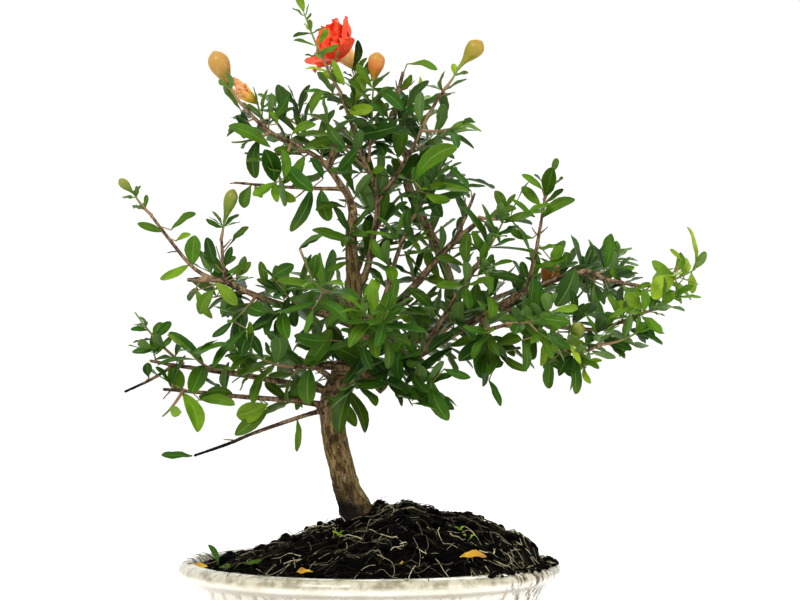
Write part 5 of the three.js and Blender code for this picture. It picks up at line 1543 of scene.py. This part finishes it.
def add_petal(skin, root, heading, face, length, width, chance):
    """A crumpled petal: broad, creased across, and frilled round its rim."""
    side = np.cross(face, heading)
    u, v = np.linspace(0, 1, PETAL_ROWS)[:, None], np.linspace(-1, 1, PETAL_COLUMNS)[None, :]
    phases = [chance.uniform(0, 2 * math.pi) for _ in range(5)]
    share = np.clip(0.25 + 1.6 * u**1.1, 0, 1) * np.sqrt(np.clip(1 - ((u - 0.58) / 0.45) ** 2, 0.04, 1))
    crease = np.sin(7 * u + phases[0]) * np.cos(2.6 * v + phases[1])
    crease = crease + 0.6 * np.sin(13 * u + 3 * v + phases[2])
    frill = np.sin(9 * v + phases[3]) * u**2 + 0.5 * np.sin(17 * v + 5 * u + phases[4]) * u**3
    lift = u * (1.0 * crease + 0.9 * frill + 2.2 * v * v)
    reach = length * u * (1 - 0.1 * v * v) + 0.5 * frill * u
    middle = root + heading * reach[..., None]
    upper = middle + side * (v * share * width / 2)[..., None] + face * lift[..., None]
    marks = marks_of(u, (v + 1) / 2, 0.0, 1.0)
    add_sheet(skin, upper, upper - face * PETAL_SHEET, marks, marks)


def add_petals(skin, start, heading, flower, chance):
    """Two layers of petals round the flower's axis, the inner one smaller and steeper."""
    across, third = axes_round(heading)
    draw = random_from(flower["petals"])
    base = start + heading * (PETAL_ROOT * flower["cup"])
    count = flower["petals"]
    for layer, size in enumerate((1, INNER_SIZE)):
        for index in range(count):
            turn = (index + 0.5 + 0.5 * layer) * 2 * math.pi / count
            outward = across * math.cos(turn) + third * math.sin(turn)
            hang = 1 - PETAL_HANG * outward[2]
            tilt = flower["spread"] * hang * lerp(*PETAL_VARIETY, draw()) * (1 - INNER_STEEPER * layer)
            along = heading * math.cos(tilt) + outward * math.sin(tilt)
            face = heading * math.sin(tilt) - outward * math.cos(tilt)
            length = flower["length"] * lerp(*PETAL_VARIETY, draw()) * size
            extra = (PETAL_FOOT - PETAL_ROOT) * flower["cup"] * HIDDEN_SHARES[layer]
            root = base + outward * (PETAL_RING * flower["mouth"])
            width = flower["width"] * PETAL_BREADTH * size
            add_petal(skin, root, along, face, length + extra, width, chance)


CUP_COLOURS = {
    "open_flower": (colour(206, 188, 54), colour(255, 198, 122), colour(255, 196, 134)),
    "half_open_flower": (colour(120, 150, 28), colour(216, 190, 60), colour(252, 176, 106)),
}
STAMENS = 34
STAMEN_LEANS = (0.05, 0.4)
STAMEN_LENGTHS = (0.45, 0.75)  # over the cup's length
STAMEN_RING = 0.2  # the same for the stamens
STAMEN_RADIUS = 0.16
ANTHER_RADII = [0.2, 0.5, 0.2]


def add_stamens(skin, start, heading, flower, chance):
    across, third = axes_round(heading)
    base = start + heading * (PETAL_ROOT * flower["cup"])
    for _ in range(STAMENS):
        turn, lean = chance.uniform(0, 2 * math.pi), chance.uniform(*STAMEN_LEANS)
        outward = across * math.cos(turn) + third * math.sin(turn)
        length = flower["cup"] * chance.uniform(*STAMEN_LENGTHS)
        root = base + outward * (STAMEN_RING * flower["mouth"])
        path = [root + (heading + outward * lean * t) * (length * t) for t in np.linspace(0, 1, 5)]
        anther = [path[-1] - 0.5 * heading, path[-1], path[-1] + 0.6 * heading]
        add_tube(skin, path, STAMEN_RADIUS, 5, (0.5, 0.5, 0, 1), slot=0)
        add_tube(skin, anther, ANTHER_RADII, 6, (1, 0, 0, 1), slot=1)


def add_flowers():
    chance = random.Random(14)
    cup_finishes = {name: flesh_material(f"{name}_cup", *tints) for name, tints in CUP_COLOURS.items()}
    anther = anther_material()
    for name, flower in FLOWERS.items():
        start, heading = flower_start(name), unit(vec(*flower["reach"]))
        finish = PETAL if name == "open_flower" else YOUNG_PETAL
        cup, petals, stamens = Skin(), Skin(), Skin()
        add_cup(cup, start - heading * GAP, heading, flower["cup"], flower["mouth"])
        add_petals(petals, start, heading, flower, chance)
        add_stamens(stamens, start, heading, flower, chance)
        add_skin(f"fleshy_{name}_cup", cup, [cup_finishes[name]], "flower_cup", f"{name}_cup")
        add_skin(f"crumpled_{name}_petals", petals, [finish], "petal", f"{name}_petals")
        add_skin(f"{name}_stamens", stamens, [PETAL, anther], "petal")


# ---------------------------------------------------------------- pot

POT_SEGMENTS = 144
HOLE_SEGMENTS = 40


def rounded(profile, times=2):
    """The profile with its corners cut again and again, which rounds them. Its ends stay."""
    points = np.array(profile, float)
    for _ in range(times):
        before, after = points[:-1], points[1:]
        cut = np.stack([0.75 * before + 0.25 * after, 0.25 * before + 0.75 * after], axis=1)
        points = np.vstack([points[:1], cut.reshape(-1, 2), points[-1:]])
    return points


def add_lathe(skin, profile, segments, marks=(0, 0, 0, 1)):
    """A closed body turned round Z. The profile starts and ends on the axis."""
    turns = turns_round(segments)
    rings = np.array([[(*on_circle(radius, turn), z) for turn in turns] for radius, z in profile[1:-1]])
    skin.add(rings, ring_faces(len(rings), segments), marks)


def cut_holes(mesh):
    """Cuts the three drain holes through the pot's floor."""
    cutters = Skin()
    for angle in DRAIN_HOLE_ANGLES:
        x, y = on_circle(DRAIN_HOLE_OFFSET, math.radians(angle))
        path = [(x, y, -2), (x, y, POT_FLOOR + 2)]
        add_tube(cutters, path, DRAIN_HOLE_RADIUS, HOLE_SEGMENTS, (0, 0, 0, 1))
    pot = link_new("pot_blank", mesh)
    cutter = link_new("hole_cutter", mesh_of("hole_cutter", cutters))
    cut = pot.modifiers.new("holes", "BOOLEAN")
    cut.operation = "DIFFERENCE"
    cut.solver = "EXACT"
    cut.object = cutter
    result = applied(pot)
    bpy.data.objects.remove(cutter)
    result.set_sharp_from_angle(angle=SHARP_ANGLE)
    return result


def add_pot():
    outside = rounded([(78, 0), *POT_OUTSIDE[1:], (114.5, 62), *POT_INSIDE[:-1], (80, POT_FLOOR)])
    skin = Skin()
    add_lathe(skin, [(0, 0), *outside, (0, POT_FLOOR)], POT_SEGMENTS)
    add_piece("glazed_pot", cut_holes(mesh_of("glazed_pot", skin)), [glaze_material()], "pot_glaze", "pot")
    screen = screen_material()
    for number in (1, 2, 3):
        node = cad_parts[f"drain_screen_{number}"]
        node.data.materials.clear()
        node.data.materials.append(screen)


# ---------------------------------------------------------------- soil

SOIL_SEGMENTS = 300
SOIL_TOP_RINGS = 92
SOIL_WALL_HEIGHTS = (SOIL_BOTTOM, 20, 32, 46, 54)
CRUMBS = 1150
CRUMB_RADII = (0.6, 3.6)
CRUMB_REACH = 108
TRUNK_CLEARANCE = 14  # round the trunk's foot
SPILL_CRUMBS = 150
SPILL_CRUMB_RADII = (0.5, 2)
SPILL_REACH = (109, 122)
SPILL_TURNS = (-52, 8)  # degrees from +X towards the back, where soil lies on the lip
TRUNK_FOOT = vec(-7, 0, 0)


def mound(x, y):
    """Height of the mound before its crumbs, as in the CAD."""
    edge = math.sqrt(max(1, SOIL_REACH**2 - x * x))
    fall = min(1, abs(y) / edge)
    ridge = float(np.interp(x, *np.array(SOIL_RIDGE).T))
    return SOIL_EDGE_HEIGHT + (ridge - SOIL_EDGE_HEIGHT) * (1 - fall**SOIL_ROUNDNESS)


# Where the soil is heaped up or sunk: [x, y, height, width].
HEAPS = [(5, 0, 4.5, 8), (-55, 0, 4.5, 5), (-80, 25, -5, 22)]


def soil_height(x, y):
    big = noise.noise((x / 11, y / 11, 0))
    middle = 1 - 2 * abs(noise.noise((x / 4.5, y / 4.5, 7)))
    small = 1 - 2 * abs(noise.noise((x / 1.9, y / 1.9, 3)))
    calm = min(1, (SOIL_REACH + 2 - math.hypot(x, y)) / 12)
    heap = sum(high * math.exp(-((x - a) ** 2 + (y - b) ** 2) / wide**2) for a, b, high, wide in HEAPS)
    return mound(x, y) + heap + calm * (3.2 * big + 2 * middle + 1.2 * small - 2.6)


def inner_wall_radius(z):
    radii, heights = np.array(POT_INSIDE[::-1], float).T
    return float(np.interp(z, heights, radii)) - SOIL_WALL_GAP


def add_soil_body():
    """The soil as one turned body: up the pot's inner wall, and then inwards over the mound."""
    radii = np.linspace(0, inner_wall_radius(SOIL_EDGE_HEIGHT) - 0.3, SOIL_TOP_RINGS)[1:][::-1]
    turns = turns_round(SOIL_SEGMENTS)
    rings = [[(*on_circle(inner_wall_radius(z), turn), z) for turn in turns] for z in SOIL_WALL_HEIGHTS]
    for radius in radii:
        places = [on_circle(radius, turn) for turn in turns]
        rings.append([(x, y, soil_height(x, y)) for x, y in places])
    skin = Skin()
    skin.add(np.array(rings), ring_faces(len(rings), SOIL_SEGMENTS), (0, 0, 0, 1))
    add_skin("soil_mound", skin, [SOIL], "soil", "soil")


def lump_shape():
    """Points and faces of a small ball."""
    ball = bmesh.new()
    bmesh.ops.create_icosphere(ball, subdivisions=2, radius=1)
    points = np.array([vertex.co[:] for vertex in ball.verts])
    faces = [tuple(vertex.index for vertex in face.verts) for face in ball.faces]
    ball.free()
    return points, faces


def add_lump(skin, place, radius, chance, shape):
    points, faces = shape
    shift = chance.uniform(0, 90)
    swell = np.array([1 + 0.45 * noise.noise((*(point * 1.4 + shift),)) for point in points])
    squash = np.array([chance.uniform(0.7, 1.2), chance.uniform(0.7, 1.2), chance.uniform(0.55, 0.9)])
    skin.add(place + points * swell[:, None] * squash * radius, faces, (chance.random(), 0, 0, 1))


# The top of the pot's lip: [distance from the axis, height].
LIP_TOP = [(109.5, 55.5), (112, 60), (114.5, 61.6), (117.5, 61.8), (122.5, 60.2), (124.5, 57.5)]


def lip_height(radius):
    return float(np.interp(radius, *np.array(LIP_TOP).T))


def add_crumbs():
    chance = random.Random(15)
    shape = lump_shape()
    skin = Skin()
    for _ in range(CRUMBS):
        x, y = on_circle(CRUMB_REACH * math.sqrt(chance.random()), chance.uniform(0, 2 * math.pi))
        if math.hypot(x - TRUNK_FOOT[0], y - TRUNK_FOOT[1]) > TRUNK_CLEARANCE:
            size = lerp(*CRUMB_RADII, chance.random() ** 3)
            add_lump(skin, vec(x, y, soil_height(x, y) + 0.2 * size), size, chance, shape)
    for _ in range(SPILL_CRUMBS):
        turn = math.radians(chance.uniform(*SPILL_TURNS))
        radius, size = chance.uniform(*SPILL_REACH), chance.uniform(*SPILL_CRUMB_RADII)
        place = vec(*on_circle(radius, turn), lip_height(radius) + 0.4 * size)
        add_lump(skin, place, size, chance, shape)
    add_skin("soil_crumbs", skin, [SOIL], "soil")


FIBRES = 760
FIBRE_LENGTHS = (12, 66)
FIBRE_RADII = (0.12, 0.46)
SPILL_FIBRES = 110
STANDING_FIBRES = 80
FIBRE_SPREAD = 92  # how far from the trunk's clearing a fibre starts
FIBRE_START_REACH = 106
SPILL_FIBRE_STARTS = (88, 108)
SPILL_FIBRE_LENGTHS = (22, 48)
SPILL_FIBRE_RADII = (0.14, 0.42)
STANDING_REACH = 104
STANDING_RADII = (0.3, 0.14)
STANDING_STEPS = 8
FIBRE_STEPS = 14
FIBRE_SIDES = 4
FIBRE_REACH = 123.5  # where a fibre ends at the latest, before the lip falls away


def surface_height(x, y):
    """Height of what lies open at x, y: the soil or the lip."""
    radius = math.hypot(x, y)
    return soil_height(x, y) if radius < LIP_TOP[0][0] else lip_height(radius)


def add_fibre(skin, x, y, turn, length, radius, tone, chance):
    """A dry root that winds over the surface and lifts off it in places."""
    path, bend = [], chance.gauss(0, 0.1)
    step = length / FIBRE_STEPS
    lift, phase = chance.uniform(0.2, 1.8), chance.uniform(0, 6)
    for index in range(FIBRE_STEPS + 1):
        if math.hypot(x, y) > FIBRE_REACH:
            break
        arch = lift * abs(math.sin(phase + 3 * index / FIBRE_STEPS))
        path.append(vec(x, y, surface_height(x, y) + radius + arch))
        turn += bend + chance.gauss(0, 0.13)
        x += step * math.cos(turn)
        y += step * math.sin(turn)
    if len(path) > 4:
        path = np.array(path)
        path[1:-1] = (path[:-2] + 2 * path[1:-1] + path[2:]) / 4
        radii = radius * np.linspace(1, 0.5, len(path))
        add_tube(skin, path, radii, FIBRE_SIDES, (tone, 0, 0, 1))


def add_standing_fibre(skin, chance):
    """A stiff dry fibre that arches up out of the soil and hangs over."""
    x, y = on_circle(STANDING_REACH * math.sqrt(chance.random()), chance.uniform(0, 2 * math.pi))
    start = vec(x, y, soil_height(x, y) - 0.5)
    out = vec(*any_way(chance, 1, 2), 0) * chance.uniform(3, 9)
    height = chance.uniform(3, 10)
    path = [start + out * t + vec(0, 0, height * t * (1.7 - t)) for t in np.linspace(0, 1, STANDING_STEPS)]
    radii = np.linspace(*STANDING_RADII, STANDING_STEPS)
    add_tube(skin, path, radii, FIBRE_SIDES, (chance.uniform(0.2, 1), 0, 0, 1))


def add_fibres():
    chance = random.Random(16)
    skin = Skin()
    for _ in range(FIBRES):
        distance = TRUNK_CLEARANCE + FIBRE_SPREAD * chance.random() ** 0.8
        x, y = on_circle(distance, chance.uniform(0, 2 * math.pi))
        x += TRUNK_FOOT[0]
        if math.hypot(x, y) < FIBRE_START_REACH:
            heading = chance.choice((0, math.pi)) + chance.gauss(0, 0.55)
            length = lerp(*FIBRE_LENGTHS, chance.random() ** 1.6)
            radius = lerp(*FIBRE_RADII, chance.random() ** 2)
            add_fibre(skin, x, y, heading, length, radius, chance.random() ** 1.6, chance)
    for _ in range(SPILL_FIBRES):
        turn = math.radians(chance.uniform(*SPILL_TURNS))
        x, y = on_circle(chance.uniform(*SPILL_FIBRE_STARTS), turn)
        add_fibre(skin, x, y, turn + chance.gauss(0, 0.9), chance.uniform(*SPILL_FIBRE_LENGTHS),
                  chance.uniform(*SPILL_FIBRE_RADII), chance.random() ** 1.5, chance)
    for _ in range(STANDING_FIBRES):
        add_standing_fibre(skin, chance)
    add_skin("root_fibres", skin, [STRAW], "bark")


LEAF_LEAN = 0.8  # of a lying leaf's face, to the front


def lying_leaf(x, y, turn, length, tilt=0.15):
    """A leaf on the soil whose upper face leans to the front."""
    heading = unit(vec(math.cos(turn), math.sin(turn), tilt))
    side = unit(np.cross(vec(0, -LEAF_LEAN, 1), heading))
    return {
        "root": vec(x, y, soil_height(x, y) + 1.8), "heading": heading, "face": np.cross(heading, side),
        "side": side, "length": length, "fold": 0.3, "droop": 0.2,
    }


# Leaves on the soil: dry ones as [x, y, turn, length], green ones with how steeply they stand and
# their tone as well, and sprouts as [x, y, leaf length].
FALLEN_LEAVES = [(57, -74, 0.1, 17), (-34, -94, 2.4, 14), (-103, -30, 2.7, 13), (20, -90, 1.0, 8)]
GREEN_LEAVES = [(-96, -38, 2.8, 15, 2.4, 0.45), (-95, -42, -0.1, 14, 0.1, 0.3), (-78, -54, 0.2, 11, 0.4, 0.3)]
SPROUTS = [(-16, -38, 5), (-19, -44, 4.5), (64, -46, 5), (58, -40, 4)]


def add_litter():
    chance = random.Random(17)
    dry, green = Skin(), Skin()
    for x, y, turn, length in FALLEN_LEAVES:
        add_leaf(dry, lying_leaf(x, y, turn, length), 0.5, chance)
    for x, y, turn, length, tilt, tone in GREEN_LEAVES:
        add_leaf(green, lying_leaf(x, y, turn, length, tilt), tone, chance)
    for x, y, length in SPROUTS:
        for turn in (chance.uniform(0, 1), chance.uniform(3, 4)):
            add_leaf(green, lying_leaf(x, y, turn, length, 0.8), 0.8, chance)
    add_skin("fallen_leaves", dry, [DRY_LEAF], "leaf_light")
    add_skin("green_litter", green, [LEAF], "leaf_light")


# ---------------------------------------------------------------- camera, light and floor

CAMERA_DISTANCE = 1.69
CAMERA_AIM = (0.0198, 0.231)  # x and height of the picture's middle
CAMERA_LENS = 117


def add_camera():
    camera = link_new("camera", bpy.data.cameras.new("camera"))
    camera.location = (CAMERA_AIM[0], -CAMERA_DISTANCE, CAMERA_AIM[1])
    camera.rotation_euler = (math.pi / 2, 0, 0)
    camera.data.lens = CAMERA_LENS
    camera.data.clip_start = 0.05
    bpy.context.scene.camera = camera


def add_lamp(name, place, size, power):
    """A square soft light that looks at the crown."""
    lamp = link_new(name, bpy.data.lights.new(name, "AREA"))
    lamp.data.size = size
    lamp.data.energy = power
    lamp.location = place
    lamp.rotation_euler = (Vector((0, 0, 0.2)) - Vector(place)).to_track_quat("-Z", "Y").to_euler()


def add_light():
    add_lamp("key", (-0.7, -1.1, 1.5), 0.9, 16)
    add_lamp("fill", (1.2, -0.9, 0.7), 0.9, 6)
    add_lamp("back", (0.2, 1.2, 1.3), 0.9, 8)
    bpy.context.scene.view_settings.view_transform = "Standard"
    bpy.context.scene.view_settings.gamma = 0.85
    world = bpy.data.worlds.new("white_room")
    world.use_nodes = True
    world.node_tree.nodes["Background"].inputs["Color"].default_value = (1, 1, 1, 1)
    world.node_tree.nodes["Background"].inputs["Strength"].default_value = 1.04
    bpy.context.scene.world = world


def add_floor():
    """A pale floor under the pot."""
    mesh = bpy.data.meshes.new("floor")
    mesh.from_pydata([(-9, -9, 0), (9, -9, 0), (9, 9, 0), (-9, 9, 0)], [], [(0, 1, 2, 3)])
    floor = link_new("floor", mesh)
    shader = Shader("pale_floor", 0.8)
    grain = shader.noise(0.2)
    finish = shader.finish(shader.mix(grain, colour(252, 252, 252), colour(254, 254, 254)), grain, 0.0001)
    mesh.materials.append(finish)


# ---------------------------------------------------------------- the whole

take_limbs()
take_buds_and_flowers()
sprays = {name: grow_spray(name, index + 1) for index, name in enumerate(SPRAYS)}
stations = stem_stations()
front_leaves = [grow_front_leaf(row, *stations) for row in FRONT_LEAVES]
extra_draw = random_from(101)
for name in SPRAYS:
    if name not in AIRY_SPRAYS:
        add_axil_leaves(sprays[name], extra_draw)
spurs = {name: grow_spurs(name, extra_draw) for name in LIMBS if name not in BARE_LIMBS}

add_pot()
add_soil_body()
add_crumbs()
add_fibres()
add_litter()
add_wood()
add_twiglets()
add_spray_pieces()
add_front_leaves()
add_spur_pieces()
add_buds()
add_flowers()
add_camera()
add_light()
add_floor()
